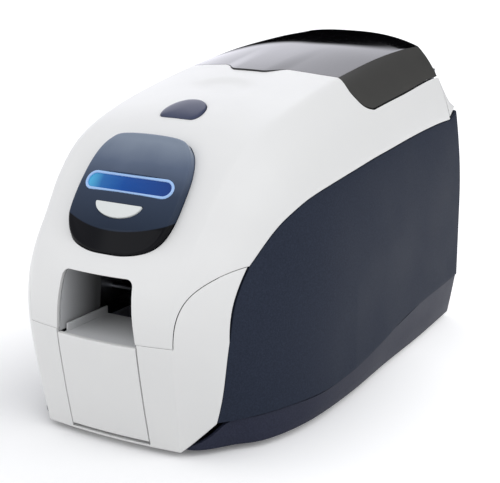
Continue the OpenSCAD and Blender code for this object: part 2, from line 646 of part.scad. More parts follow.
// Frame inside the lid
rail_drop = 10;
function rail_top(u) = let (p = inner_skin(u, across(u, rail_in + rail_t), wall + 0.15)) [p[1], p[2]];
rail_us = [3.4, 4, 4.6, 5.2, 5.8, 6.4, 7, 7.6, 8.2, 8.8, 9.4];
visor_ear = [68.4, 71.4];
knuckle = [36, 44];
bar_rear = [148 * ky, 158 * ky];
bar_mid_y = 8;
module lid_frame() {
  tops = [for (u = rail_us) rail_top(u)];
  lows = [for (i = [len(rail_us) - 1:-1:1])
    let (d = unit(tops[i] - tops[i - 1])) tops[i] + rail_drop * [d[1], -d[0]]];
  color("#6f727a") difference() {
    union() {
      both_sides() across_x(rail_in, rail_in + rail_t) {
        polygon(concat([[tops[0][0] + 1, tops[0][1] - 5]], tops,
                       [[12, deck_z], [bar_rear[1], deck_z], [bar_rear[1], deck_z - 8], [5, deck_z - 8]], lows));
        polygon([[-112, lookup(-112, tops) - 9], [-84, lookup(-84, tops) - 7], [-84, latch_axis[1] + 4],
                 [latch_axis[0] + 7, latch_axis[1] - 6], [latch_axis[0] - 7, latch_axis[1] - 6]]);
      }
      across_x(-rail_in - 1, rail_in + 1) polygon([for (p = [[-105, 6.5], [-99, 6.5], [-99, 3.5], [-105, 3.5]])
        [p[0], lookup(-105, tops) - p[1]]]);
      across_x(-rail_in - 1, rail_in + 1)
        polygon([[bar_mid_y, deck_z - 6], [bar_mid_y + 6, deck_z - 6], [bar_mid_y + 6, deck_z], [bar_mid_y, deck_z]]);
      across_x(-visor_ear[1], visor_ear[1])
        polygon([[bar_rear[0], deck_z - 8], [bar_rear[1], deck_z - 8],
          [bar_rear[1], deck_z], [bar_rear[0], deck_z]]);
      both_sides() across_x(visor_ear[0], visor_ear[1]) {
        polygon([[151 * ky, deck_z - 4], [bar_rear[1], deck_z - 4], [163 * ky, 193 * kz], [165.5 * ky, 199 * kz],
                 [visor_axis[0] + 2.8, visor_axis[1]], [visor_axis[0] - 2.8, visor_axis[1]],
                 [161.2 * ky, 200 * kz], [158.2 * ky, 196.8 * kz], [151 * ky, 196.8 * kz]]);
        translate(visor_axis) circle(2.8);
      }
      both_sides() across_x(knuckle[0], knuckle[1]) {
        polygon([[bar_rear[0], deck_z - 8], [bar_rear[0], deck_z], [bar_rear[1], deck_z], [168 * ky, 183.5 * kz],
                 [lid_axis[0], lid_axis[1] + 3.4], [lid_axis[0], lid_axis[1] - 3.4], [170 * ky, 175.5 * kz]]);
        translate(lid_axis) circle(3.4);
      }
    }
    rod_x(-80, 80, visor_axis, pin_r + 0.02);
    rod_x(-80, 80, lid_axis, pin_r + run_fit);
    rod_x(-80, 80, latch_axis, pin_r + 0.02);
    both_sides() box(visor_ear[0] - 9, visor_ear[0], 158.6 * ky, 172 * ky, deck_z + 0.5, 215 * kz);
  }
}
module loading_deck() {
  color("#4b4d55") difference() {
    box(-71 * kx, 71 * kx, 14, bar_rear[0] + 2.6, deck_z, deck_z + deck_t);
    box(-magazine_half - 3, magazine_half + 3, magazine_y - 4, magazine_y + magazine_len + 4,
      deck_z - 5, deck_z + 10);
  }
}
module mouth_liner() {
  inner_front = [for (u = [2.02, 2.5, 3, 3.4, 3.8, 4.1])
    let (p = inner_skin(u, across(u, 30), wall)) [p[1] + 0.9, p[2]]];
  color("#9b9da3") intersection() {
    along_y(-200 * ky, -137 * ky) difference() {
      mouth_shape(2);
      mouth_shape(0);
      translate([-60, 0]) square([120, mouth_bottom]);
    }
    across_x(-50, 50) polygon(concat([[inner_front[0][0], 60 * kz]], inner_front,
                                     [[-120 * ky, inner_front[5][1]], [-120 * ky, 60 * kz]]));
  }
}

// Print head and ribbon, carried by the lid
head_arm = [40, 43];
head_bar_z = 127;
spool_shaft_r = 4;
module head_bracket() {
  color("#85888f") {
    difference() {
      both_sides() across_x(head_arm[0], head_arm[1]) polygon([
        [-92, 180], [-84, 180], [-60, 158], [-50, 130], [-50, 113], [-70, 113], [-70, 132], [-78, 158]]);
    }
    across_x(-head_arm[1] + 1, head_arm[1] - 1)
      polygon([[-66, head_bar_z], [-54, head_bar_z], [-54, head_bar_z + 3], [-66, head_bar_z + 3]]);
    both_sides() box(head_arm[0], rail_in, -92, -84, 178, 180);
  }
}
module print_head() {
  color("#5b5e66") difference() {
    box(-26.5, 26.5, platen_y - 6, platen_y + 6, head_z + 2, head_z + 12);
    box(-20, 20, platen_y - 3, platen_y + 3, head_z + 8, head_z + 20);
  }
  color("#c9b27a") box(-26.5, 26.5, platen_y - 1.5, platen_y + 1.5, head_z, head_z + 2);
}
module head_springs() {
  color("#b9bcc2") for (x = [-23.5, 23.5]) translate([x, platen_y, head_z + 12]) difference() {
    cylinder(head_bar_z - head_z - 12, 2.5, 2.5);
    translate([0, 0, -1]) cylinder(20, 1.7, 1.7);
  }
}
cart_in = 36.5;
cart_out = 39.7;
module ribbon_cartridge() {
  color("#2a2c30") {
    difference() {
      both_sides() across_x(cart_in, cart_out) polygon([
        [takeup_y - 9, spool_z - 9], [takeup_y + 9, spool_z - 9], [platen_y - 14, spool_z - 4],
        [platen_y + 14, spool_z - 4], [supply_y - 9, spool_z - 9], [supply_y + 9, spool_z - 9],
        [supply_y + 9, spool_z + 9], [takeup_y - 9, spool_z + 9]]);
      rod_x(-60, 60, [supply_y, spool_z], spool_shaft_r + run_fit);
      rod_x(-60, 60, [takeup_y, spool_z], spool_shaft_r + run_fit);
    }
    box(-cart_in - 1, cart_in + 1, platen_y - 20, platen_y - 16, spool_z + 2, spool_z + 6);
    box(-cart_in - 1, cart_in + 1, platen_y + 16, platen_y + 20, spool_z + 2, spool_z + 6);
  }
}
module spool(y, wound_r) {
  rod_x(-39.2, 39.2, [y, spool_z], spool_shaft_r);
  rod_x(-33, 33, [y, spool_z], wound_r);
  both_sides() rod_x(33, 34.5, [y, spool_z], 15);
}
module supply_spool() { color("#22242a") spool(supply_y, 13); }
module takeup_spool() { color("#3d4048") spool(takeup_y, 8.5); }

// Chassis
lid_ear_r = 3.4;
motor_half = 17.5;
foot_flange = 9;
module plate_profile() {
  difference() {
    union() {
      polygon([[-140, floor_z], [150, floor_z], [150, 95], [166 * ky, 120], [177.6 * ky, 150 * kz],
               [lid_axis[0] - 2.9, lid_axis[1] - 1.8], [lid_axis[0], lid_axis[1] + lid_ear_r],
               [lid_axis[0] - lid_ear_r, lid_axis[1]], [160 * ky, 160 * kz], [145, 135], [20, 127],
               [-125, 124], [-140, 112]]);
      translate(lid_axis) circle(lid_ear_r);
    }
    translate(lid_axis) circle(pin_r + 0.02);
    for (y = [exit_y, platen_y, transport_y, pick_y]) translate([y, shaft_z]) circle(shaft_r + run_fit);
    for (y = [exit_y, transport_y]) translate([y, pinch_z]) circle(2 + run_fit);
    for (p = tie_places) translate(p) circle(tie_r + 0.02);
    translate([idler_b_y, motor_z]) circle(4);
    for (w = [[-110, 30, 40, 40], [-22, 30, 40, 22], [70, 30, 52, 40]])
      translate([w[0], w[1]]) square([w[2], w[3]]);
  }
}
tie_places = [latch_rod, [-100, 80], [20, 84], [140, 70], [140, 112]];
module chassis_plate(side) {
  color("#a8abb0") {
    across_x(side > 0 ? plate_in : -plate_out, side > 0 ? plate_out : -plate_in) plate_profile();
    for (y = [-130, 0, 120])
      box(side > 0 ? plate_in - foot_flange : -plate_in, side > 0 ? plate_in : -plate_in + foot_flange,
          y, y + 20, floor_z, floor_z + plate_t);
  }
}
module chassis_right() { chassis_plate(1); }
module chassis_left() { chassis_plate(-1); }
module chassis_screws() {
  color("#c9ccd1") both_sides() for (y = [-120, 10, 130])
    translate([plate_in - 5, y, floor_z + plate_t]) difference() {
    cylinder(1.8, 2.8, 2.8);
    translate([0, 0, 0.8]) cylinder(2, 1.2, 1.2);
  }
}
module tie_rods() {
  color("#b5b8bd") for (p = tie_places) rod_x(-plate_out - 1, plate_out + 1, p, tie_r);
}
module lid_hinge_pins() {
  color("#b5b8bd") both_sides() rod_x(knuckle[0] + 0.3, plate_out + 0.6, lid_axis, pin_r);
}
standoff_places = [[-30, 45], [62, 45], [130, 45], [140, 90]];
module side_standoffs() {
  color("#8d9097") both_sides() for (p = standoff_places)
    rod_x(plate_out, side_x(p[0]) - wall - 0.35, p, 4);
}
module door_hinge_pins() {
  color("#b5b8bd") both_sides() rod_x(mouth_w - 6.5, mouth_w + 5, door_axis, door_pin_r);
}

// Output side
door_steps = 8;
module hopper_door() {
  bottom_u = (door_bottom - 4) / 34 / kz;
  top_u = lid_front_u - (76 * kz - door_top) / 38 / kz;
  color("#efefed") difference() {
    union() {
      sheet([for (i = [0:door_steps]) let (u = mix(bottom_u, top_u, i / door_steps))
        [for (x = [-1, -0.5, 0, 0.5, 1]) skin(u, across(u, x * door_half))]], wall);
      rod_x(-door_half, door_half, door_axis, door_barrel_r);
    }
    rod_x(-40, 40, door_axis, door_pin_r + run_fit);
  }
}
bin_half = card_w / 2 + 2.5;
bin_wall = 2;
bin_front = base_front_y + 3.2;
bin_rear = bin_front + card_l + 2 + bin_wall;
module card_bin() {
  color("#5a5d66") difference() {
    box(-bin_half, bin_half, bin_front, bin_rear, floor_z, tray_z);
    box(-bin_half + bin_wall, bin_half - bin_wall, bin_front - 5, bin_rear - bin_wall, floor_z + bin_wall, 100);
  }
}
tray_t = 2.5;
tray_front = -177.6 * ky;
tray_rear = -132;
module output_tray() {
  color("#cfd1d4") difference() {
    union() {
      box(-bin_half + 0.5, bin_half - 0.5, tray_front, tray_rear, tray_z, tray_z + tray_t);
      both_sides() box(bin_half - 1.8, bin_half - 0.5, tray_front + 4, tray_rear, tray_z, mouth_bottom + 4);
    }
    box(11, bin_half - 6, tray_rear - 9, tray_rear + 5, 60, 80);
  }
}

// Card path
module shaft_roller(y, z, shaft, r, left) {
  difference() {
    rod_x(-left, plate_out + 1.5, [y, z], shaft);
    rod_x(plate_out + 0.8, plate_out + 5, [y, z], shaft * 0.4);
  }
  for (x = [-rubber_half, 3]) rod_x(x, x + rubber_half - 3, [y, z], r);
}
module exit_pinch() { color("#c9ccd1") shaft_roller(exit_y, pinch_z, 2, pinch_r, plate_out + 1.5); }
module transport_pinch() { color("#c9ccd1") shaft_roller(transport_y, pinch_z, 2, pinch_r, plate_out + 1.5); }

tooth = [0.92, 0.6, 0.3];
module gear_shape(n, turn) {
  rp = gear_m * n / 2;
  root = rp - 1.2 * gear_m;
  tip = rp + 0.85 * gear_m;
  function at(r, w, a) = [r * cos(a + w / r * 57.3), r * sin(a + w / r * 57.3)];
  rotate(turn) polygon([for (i = [0:n - 1]) let (a = i * 360 / n)
    each [at(root, -tooth[0] * gear_m, a), at(rp, -tooth[1] * gear_m, a), at(tip, -tooth[2] * gear_m, a),
          at(tip, tooth[2] * gear_m, a), at(rp, tooth[1] * gear_m, a), at(root, tooth[0] * gear_m, a)]]);
}
module gear(y, z, n, half, bore) {
  difference() {
    union() {
      translate([-gear_in - gear_w, y, z]) rotate([90, 0, 90]) linear_extrude(gear_w)
        gear_shape(n, half ? 180 / n : 0);
      rod_x(-gear_in, -plate_out - 0.4, [y, z], bore + 1.8);
    }
    rod_x(-70, -40, [y, z], bore);
  }
}
module shaft_gear(y) { color("#e6e1d2") gear(y, shaft_z, roller_teeth, false, shaft_r + 0.02); }
module feed_roller(y) {
  color("#2a2a2a") shaft_roller(y, shaft_z, shaft_r, roller_r, shaft_end);
  shaft_gear(y);
}
module exit_roller() { feed_roller(exit_y); }
module transport_roller() { feed_roller(transport_y); }
module pick_roller() { feed_roller(pick_y); }
module platen_roller() {
  color("#1f1f1f") {
    rod_x(-shaft_end, plate_out + 1.5, [platen_y, shaft_z], shaft_r);
    rod_x(-28, 28, [platen_y, shaft_z], roller_r);
  }
  shaft_gear(platen_y);
}
module front_idler() { color("#d8d2bf") gear(idler_a_y, shaft_z, idler_teeth, true, 2 + run_fit); }
module rear_idler() { color("#d8d2bf") gear(idler_b_y, shaft_z, idler_teeth, true, 2 + run_fit); }
module large_idler() { color("#d8d2bf") gear(big_y, shaft_z, big_teeth, true, 2 + run_fit); }
module motor_pinion() {
  color("#c7a75a") gear(idler_b_y, motor_z, pinion_teeth, false, 1.52);
  color("#c9ccd1") rod_x(-shaft_end, -plate_in + 19, [idler_b_y, motor_z], 1.5);
}
module idler_studs() {
  color("#b5b8bd") for (y = [idler_a_y, idler_b_y, big_y]) {
    rod_x(-plate_out - 6.8, -plate_out, [y, shaft_z], 2);
    rod_x(-gear_in - gear_w - 1.2, -gear_in - gear_w - 0.3, [y, shaft_z], 3);
  }
}
module motor() {
  color("#3a3c41") difference() {
    box(-plate_in, -plate_in + 28, idler_b_y - motor_half, idler_b_y + motor_half,
        motor_z - motor_half, motor_z + motor_half);
    rod_x(-plate_in - 5, -plate_in + 20, [idler_b_y, motor_z], 2.5);
  }
}
guide_in = card_w / 2 - 1.2;
guide_lip = card_w / 2 + 0.4;
guide_out = card_w / 2 + 4;
guide_end = magazine_y - magazine_wall - 0.4;
module card_guides() {
  color("#44474f") both_sides() difference() {
    union() {
      box(guide_in, guide_out, exit_y - 12, guide_end, card_z - 2.2, card_z - 0.2);
      box(guide_lip, guide_out, exit_y - 12, guide_end, card_z - 2.2, card_z + 1.2);
      for (y = [idler_a_y, idler_b_y, 22]) box(guide_out - 1, plate_in, y - 5, y + 5, card_z - 2.2, card_z - 0.2);
    }
    box(guide_in - 5, 28.4, platen_y - roller_r - 0.5, platen_y + roller_r + 0.5, 90, 130);
  }
}

// Card magazine
module card_magazine() {
  rear = magazine_y + magazine_len;
  w = magazine_wall;
  color("#d8dadd") difference() {
    union() {
      box(-magazine_half - w, magazine_half + w, magazine_y - w, rear + w, magazine_z, magazine_z + magazine_h);
      both_sides() for (y = [58, 116]) box(magazine_half, plate_in, y, y + 10, magazine_z + 6, magazine_z + 8.5);
    }
    box(-magazine_half, magazine_half, magazine_y, rear, magazine_z + w, 250);
    box(-rubber_half - 1, rubber_half + 1, pick_y - roller_r - 1, pick_y + roller_r + 1, 90, 120);
    box(-magazine_half, magazine_half, magazine_y - 5, magazine_y + 1, magazine_z + w, card_z + 1.6);
    box(-12, 12, magazine_y - 5, magazine_y + 1, magazine_z + 14, 250);
  }
}
module card_weight() {
  m = 1;
  rear = magazine_y + magazine_len;
  color("#70747c") {
    difference() {
      box(-magazine_half + m, magazine_half - m, magazine_y + m, rear - m, card_z + 1, card_z + 9);
      box(-magazine_half + 5, magazine_half - 5, magazine_y + 5, rear - 5, card_z + 3, 200);
    }
    for (x = [-20, 14], y = [magazine_y + 30, rear - 12])
      box(x, x + 6, y + 3, y + 9, magazine_z + magazine_wall + 0.2, card_z + 1);
    box(-4, 4, magazine_y + 38, magazine_y + 48, card_z + 3, card_z + 24);
  }
}
gate_lift = 1.5;
module card_gate() {
  color("#b4483c") {
    box(-11.6, 11.6, magazine_y - magazine_wall - 1.8, magazine_y - magazine_wall - 0.2,
      card_z + 1.8, card_z + 16);
    box(-3, 3, magazine_y - magazine_wall - 7, magazine_y - magazine_wall - 1.8, card_z + 12, card_z + 15);
  }
}

// Electronics and rear panel
board_x = 40;
board_y = [24, 148];
main_z = floor_z + 6;
module board_spacers() {
  color("#c9ccd1") for (x = [-34, 34], y = [board_y[0] + 6, board_y[1] - 6])
    translate([x, y, floor_z]) cylinder(6, 3, 3);
}
module main_board() {
  color("#1f5a33") box(-board_x, board_x, board_y[0], board_y[1], main_z, main_z + board_t);
  color("#26282c") {
    box(-22, 2, 60, 84, main_z + board_t, main_z + board_t + 3);
    box(12, 28, 96, 112, main_z + board_t, main_z + board_t + 3);
  }
  color("#e8e4d8") box(-34, -14, board_y[1] - 10, board_y[1] - 3, main_z + board_t, main_z + board_t + 8);
  color("#2c4a7a") for (y = [46, 60]) translate([26, y, main_z + board_t]) cylinder(16, 5, 5);
  color("#aeb1b6") difference() {
    box(-22, 2, 60, 84, main_z + board_t + 3, main_z + board_t + 15);
    for (x = [-19:4:-3]) box(x, x + 2.4, 55, 90, main_z + board_t + 6, 60);
  }
}
inlet_x = 56 * kx;
usb_x = 34 * kx;
switch_x = -58 * kx;
port_z = 58;
rear_t = 2.5;
rear_right = concat([[rear_point(4, panel_columns)[0] - seam_gap - 0.2, 0]],
  [for (j = [panel_columns:-1:0]) let (p = rear_point(4, j)) [p[0] - seam_gap - 0.2, p[2]]]);
module rear_panel() {
  color("#33343c") difference() {
    intersection() {
      along_y(rear_y - rear_t, rear_y) polygon(concat(rear_right, [for (i = [len(rear_right) - 1:-1:0])
        [-rear_right[i][0], rear_right[i][1]]]));
      box(-100, 100, rear_y - 10, rear_y + 10, low_z(rear_y), 172.6 * kz);
    }
    box(inlet_x - 7.1, inlet_x + 7.1, rear_y - 9, rear_y + 9, port_z - 6.1, port_z + 6.1);
    box(usb_x - 7.1, usb_x + 7.1, rear_y - 9, rear_y + 9, port_z - 6.6, port_z + 6.6);
    box(switch_x - 7.6, switch_x + 7.6, rear_y - 9, rear_y + 9, port_z - 11.1, port_z + 11.1);
    for (i = [0:8], x = [-62, 22])
      box(x * kx, (x + 40) * kx, rear_y - 9, rear_y + 9, (100 + i * 6) * kz, (103 + i * 6) * kz);
  }
}
module power_inlet() {
  color("#17181a") difference() {
    union() {
      box(inlet_x - 7, inlet_x + 7, rear_y - 14, rear_y + 0.8, port_z - 6, port_z + 6);
      box(inlet_x - 9, inlet_x + 9, rear_y - rear_t - 2, rear_y - rear_t, port_z - 8, port_z + 8);
    }
    translate([inlet_x, rear_y - 10, port_z]) rotate([-90, 0, 0]) cylinder(20, 3.4, 3.4);
  }
  color("#c9ccd1") translate([inlet_x, rear_y - 10, port_z]) rotate([-90, 0, 0]) cylinder(8, 1, 1);
}
module usb_socket() {
  color("#b9bcc2") difference() {
    union() {
      box(usb_x - 7, usb_x + 7, rear_y - 16, rear_y + 0.8, port_z - 6.5, port_z + 6.5);
      box(usb_x - 9, usb_x + 9, rear_y - rear_t - 2, rear_y - rear_t, port_z - 8.5, port_z + 8.5);
    }
    box(usb_x - 4.6, usb_x + 4.6, rear_y - 10, rear_y + 5, port_z - 4.4, port_z + 4.4);
  }
}
rocker_axis = [rear_y - 2.2, port_z];
module switch_frame() {
  color("#17181a") difference() {
    union() {
      box(switch_x - 7.5, switch_x + 7.5, rear_y - 12, rear_y + 1, port_z - 11, port_z + 11);
      box(switch_x - 9.5, switch_x + 9.5, rear_y - rear_t - 2, rear_y - rear_t, port_z - 12.5, port_z + 12.5);
    }
    box(switch_x - 5.5, switch_x + 5.5, rear_y - 9, rear_y + 5, port_z - 9.2, port_z + 9.2);
    rod_x(switch_x - 7, switch_x + 7, rocker_axis, 1.2 + run_fit);
  }
}
module switch_rocker() {
  color("#8e2b25") {
    across_x(switch_x - 5.2, switch_x + 5.2) polygon([
      [rocker_axis[0] - 2.4, rocker_axis[1] - 7.4], [rocker_axis[0] + 3.4, rocker_axis[1] - 7.8],
      [rocker_axis[0] + 2.2, rocker_axis[1]], [rocker_axis[0] + 3.4, rocker_axis[1] + 7.8],
      [rocker_axis[0] - 2.4, rocker_axis[1] + 7.4]]);
    rod_x(switch_x - 6.6, switch_x + 6.6, rocker_axis, 1.2);
  }
}

lid();
lid_rear_cover();
front_casing();
side_panel_right();
side_panel_left();
base_tray();
rubber_feet();
console_bezel();
lcd_ring();
lcd_window();
panel_board();
control_button();
release_button();
release_guide();
latch_bar();
lid_pivot_pins();
feeder_cover();
feeder_cover_back();
lid_frame();
loading_deck();
mouth_liner();
head_bracket();
print_head();
head_springs();
ribbon_cartridge();
supply_spool();
takeup_spool();
chassis_right();
chassis_left();
chassis_screws();
tie_rods();
lid_hinge_pins();
side_standoffs();
door_hinge_pins();
hopper_door();
card_bin();
output_tray();
exit_roller();
transport_roller();
pick_roller();
platen_roller();
exit_pinch();
transport_pinch();
front_idler();
rear_idler();
large_idler();
motor_pinion();
idler_studs();
motor();
card_guides();
card_magazine();
card_weight();
card_gate();
board_spacers();
main_board();
rear_panel();
power_inlet();
usb_socket();
switch_frame();
switch_rocker();
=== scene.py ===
import math

import bpy
from mathutils import Matrix, Vector


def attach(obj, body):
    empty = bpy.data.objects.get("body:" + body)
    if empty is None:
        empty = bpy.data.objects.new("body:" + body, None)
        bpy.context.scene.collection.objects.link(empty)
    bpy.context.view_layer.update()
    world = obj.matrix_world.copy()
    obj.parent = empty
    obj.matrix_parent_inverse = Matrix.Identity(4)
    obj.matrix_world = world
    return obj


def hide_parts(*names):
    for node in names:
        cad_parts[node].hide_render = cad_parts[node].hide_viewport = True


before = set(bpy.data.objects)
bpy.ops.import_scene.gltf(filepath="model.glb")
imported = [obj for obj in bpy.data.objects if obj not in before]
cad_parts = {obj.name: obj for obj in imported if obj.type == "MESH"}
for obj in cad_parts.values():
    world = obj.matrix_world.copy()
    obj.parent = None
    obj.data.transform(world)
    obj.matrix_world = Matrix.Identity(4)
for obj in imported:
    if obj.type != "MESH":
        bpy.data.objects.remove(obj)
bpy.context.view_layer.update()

# Camera
# A long lens a metre away, looking down a little on the front right corner.
# Its place was worked out from the card mouth, the console and the foot of the casing.
scene = bpy.context.scene
CAMERA_TURN = math.radians(31.061)
CAMERA_RISE = math.radians(15.478)
CAMERA_REACH = 0.972292
CAMERA_AIM = Vector((0, 0.00427, 0.09307))
LENS_PIXELS = 1328.838
PHOTO_WIDTH = 500
SENSOR = 36
camera_data = bpy.data.cameras.new("camera")
camera_data.sensor_width = SENSOR
camera_data.lens = SENSOR * LENS_PIXELS / PHOTO_WIDTH
camera = bpy.data.objects.new("camera", camera_data)
scene.collection.objects.link(camera)
out_of_aim = Vector((math.sin(CAMERA_TURN) * math.cos(CAMERA_RISE),
                     -math.cos(CAMERA_TURN) * math.cos(CAMERA_RISE),
                     math.sin(CAMERA_RISE)))
camera.location = CAMERA_AIM + out_of_aim * CAMERA_REACH
camera.rotation_mode = "QUATERNION"
camera.rotation_quaternion = (-out_of_aim).to_track_quat("-Z", "Y")
scene.camera = camera
scene.view_settings.view_transform = "Standard"


# Light and floor
# A white table in an even white room, with a soft box at the right and one in front.
# Polished parts mirror bright windows at the left and one dark doorway behind, as the feeder cover shows.
def linear(hex_colour):
    """sRGB hex colour as linear values for a shader socket."""
    parts = [int(hex_colour[i:i + 2], 16) / 255 for i in (1, 3, 5)]
    return [p / 12.92 if p <= 0.04045 else ((p + 0.055) / 1.055) ** 2.4 for p in parts] + [1.0]


def add_node(tree, kind, links=None, values=None, **settings):
    """Adds one shader node with its settings, socket values and incoming links."""
    node = tree.nodes.new(kind)
    for setting, value in settings.items():
        setattr(node, setting, value)
    for socket, value in (values or {}).items():
        node.inputs[socket].default_value = value
    for socket, source in (links or {}).items():
        tree.links.new(source, node.inputs[socket])
    return node


def new_material(name):
    """A material with an empty node tree, and that tree."""
    material = bpy.data.materials.new(name)
    material.use_nodes = True
    material.node_tree.nodes.clear()
    return material, material.node_tree


def soft_box(name, place, aim, width, height, power):
    """A soft box standing upright, in metres and watts."""
    lamp = bpy.data.lights.new(name, "AREA")
    lamp.shape = "RECTANGLE"
    lamp.size, lamp.size_y = width, height
    lamp.energy = power
    holder = bpy.data.objects.new(name, lamp)
    scene.collection.objects.link(holder)
    back = (Vector(place) - Vector(aim)).normalized()
    right = Vector((0, 0, 1)).cross(back).normalized()
    turn = Matrix((right, back.cross(right), back)).transposed()
    holder.matrix_world = Matrix.Translation(place) @ turn.to_4x4()


world = bpy.data.worlds.new("studio")
scene.world = world
world.use_nodes = True
tree = world.node_tree
tree.nodes.clear()
path = add_node(tree, "ShaderNodeLightPath")
# The mirrored room, by direction: a bright front, a dim back, windows at the back left and the doorway.
FRONT_END, BACK_START = 0.3, 0.6
FRONT_LIGHT, BACK_LIGHT = 0.9, 0.03
WINDOW_START, WINDOW_END, WINDOW_LIGHT = 0.0, -0.16, 1.85
DOORWAY, DOORWAY_EDGE, DOORWAY_BLUR = (-0.232, 0.9725, 0.0224), 0.9327, 0.006
direction = add_node(tree, "ShaderNodeTexCoord").outputs["Generated"]
way = add_node(tree, "ShaderNodeSeparateXYZ", links={0: direction})
towards = add_node(tree, "ShaderNodeVectorMath", operation="DOT_PRODUCT", links={0: direction},
                   values={1: DOORWAY})
doorway = add_node(tree, "ShaderNodeMapRange", links={0: towards.outputs["Value"]},
                   values={1: DOORWAY_EDGE - DOORWAY_BLUR, 2: DOORWAY_EDGE + DOORWAY_BLUR, 3: 1.0, 4: 0.0})
far_wall = add_node(tree, "ShaderNodeMapRange", links={0: way.outputs["Y"]},
                    values={1: FRONT_END, 2: BACK_START, 3: FRONT_LIGHT, 4: BACK_LIGHT})
left = add_node(tree, "ShaderNodeMapRange", links={0: way.outputs["X"]},
                values={1: WINDOW_START, 2: WINDOW_END, 3: 0.0, 4: WINDOW_LIGHT})
back = add_node(tree, "ShaderNodeMapRange", links={0: way.outputs["Y"]},
                values={1: FRONT_END, 2: BACK_START})
windows = add_node(tree, "ShaderNodeMath", operation="MULTIPLY",
                   links={0: left.outputs[0], 1: back.outputs[0]})
wall = add_node(tree, "ShaderNodeMath", operation="MAXIMUM",
                links={0: far_wall.outputs[0], 1: windows.outputs[0]})
wall = add_node(tree, "ShaderNodeMath", operation="MULTIPLY",
                links={0: wall.outputs[0], 1: doorway.outputs[0]})
room = add_node(tree, "ShaderNodeBackground", values={"Color": linear("#F6F7FA"), "Strength": 0.91})
walls = add_node(tree, "ShaderNodeBackground", links={"Strength": wall.outputs[0]},
                 values={"Color": linear("#F6F6FF")})
white = add_node(tree, "ShaderNodeBackground", values={"Color": linear("#FFFFFF"), "Strength": 1.0})
mirrored = add_node(tree, "ShaderNodeMixShader",
                    links={0: path.outputs["Is Glossy Ray"], 1: room.outputs[0], 2: walls.outputs[0]})
clear = add_node(tree, "ShaderNodeMath", operation="MAXIMUM",
                 links={0: path.outputs["Is Camera Ray"], 1: path.outputs["Is Transmission Ray"]})
seen = add_node(tree, "ShaderNodeMixShader",
                links={0: clear.outputs[0], 1: mirrored.outputs[0], 2: white.outputs[0]})
add_node(tree, "ShaderNodeOutputWorld", links={"Surface": seen.outputs[0]})

soft_box("box_right", (1.5, 0.1, 0.9), (0, 0, 0.1), 1.2, 1.2, 5)
soft_box("box_front", (-0.6, -1.7, 0.6), (0, 0, 0.12), 1.2, 0.9, 3.6)

bpy.ops.mesh.primitive_plane_add(size=16, location=(0, 0, 0))
floor = bpy.context.object
floor.name = "floor"
floor_paint, tree = new_material("white_table")
path = add_node(tree, "ShaderNodeLightPath")
paint = add_node(tree, "ShaderNodeBsdfDiffuse", values={"Color": linear("#D2D2D2")})
bright_paint = add_node(tree, "ShaderNodeBsdfDiffuse", values={"Color": linear("#FFFFFF")})
# The camera sees a white table that glows a little, least where the front foot throws its shadow.
SHADOW_MIDDLE, SHADOW_NEAR, SHADOW_FAR = (-0.02, -0.15, 0.0), 0.09, 0.27
GLOW_NEAR, GLOW_FAR = 0.08, 0.36
from_shadow = add_node(tree, "ShaderNodeVectorMath", operation="DISTANCE", values={1: SHADOW_MIDDLE},
                       links={0: add_node(tree, "ShaderNodeTexCoord").outputs["Object"]})
fade_out = add_node(tree, "ShaderNodeMapRange", links={0: from_shadow.outputs["Value"]},
                    values={1: SHADOW_NEAR, 2: SHADOW_FAR, 3: GLOW_NEAR, 4: GLOW_FAR})
glow = add_node(tree, "ShaderNodeEmission", links={"Strength": fade_out.outputs[0]},
                values={"Color": linear("#FFFFFF")})
lit = add_node(tree, "ShaderNodeAddShader", links={0: bright_paint.outputs[0], 1: glow.outputs[0]})
viewed = add_node(tree, "ShaderNodeMath", operation="MAXIMUM",
                  links={0: path.outputs["Is Camera Ray"], 1: path.outputs["Is Glossy Ray"]})
shown = add_node(tree, "ShaderNodeMixShader",
                 links={0: viewed.outputs[0], 1: paint.outputs[0], 2: lit.outputs[0]})
add_node(tree, "ShaderNodeOutputMaterial", links={"Surface": shown.outputs[0]})
floor.data.materials.append(floor_paint)


# Top lid
# The white shell that makes the nose, the shoulders and the roof of the printer.
# One injection moulding in satin ABS, 2.5 mm thick, hinged along its rear edge.
MM = 0.001
WALL = 2.5
SEAM = 0.5
# Shape lines in mm, front foot to rear top: (y, z) of the middle, the shoulder and the side, then x and
# the flank's tangent. Every step of u is one entry.
CENTRE_LINE = [(-169.5, 4), (-177, 38), (-183.5, 76), (-183.5, 100), (-177, 118), (-160, 134), (-138, 160),
               (-114, 186), (-80, 202), (-30, 213), (25, 222), (80, 229), (125, 231.4), (158, 232)]
SHOULDER_LINE = [(-166, 4), (-172, 38), (-177, 76), (-175, 102), (-166, 122), (-149, 143), (-129, 167),
                 (-106, 186), (-72, 199), (-24, 209), (27, 216), (80, 221.5), (125, 223.5), (158, 223)]
SIDE_LINE = [(-50, 4), (-50, 25), (-48, 45), (-44, 58), (-38, 68), (-28, 77), (-15, 85), (0, 90), (20, 94),
             (50, 97), (85, 98), (120, 99), (150, 100), (172, 100)]
SHOULDER_X = [52, 53, 54, 54, 55, 57, 59, 60, 60, 60, 60, 60, 60, 60]
FLANK_ANGLE = [45, 38, 30, 22, 18, 17, 17, 18, 20, 24, 32, 38, 42, 44]
FLANK_REACH = [26, 22, 18, 17, 18, 20, 24, 25, 25, 25, 25, 25, 25, 25]
FLANK_PULL = 0.42
FLAT_CROWN = 2.6
LAST_U = len(CENTRE_LINE) - 1
SIDE_WIDTHS = [(-60, 100.5), (-20, 100.5), (30, 98.5), (80, 96), (130, 94), (180, 92)]


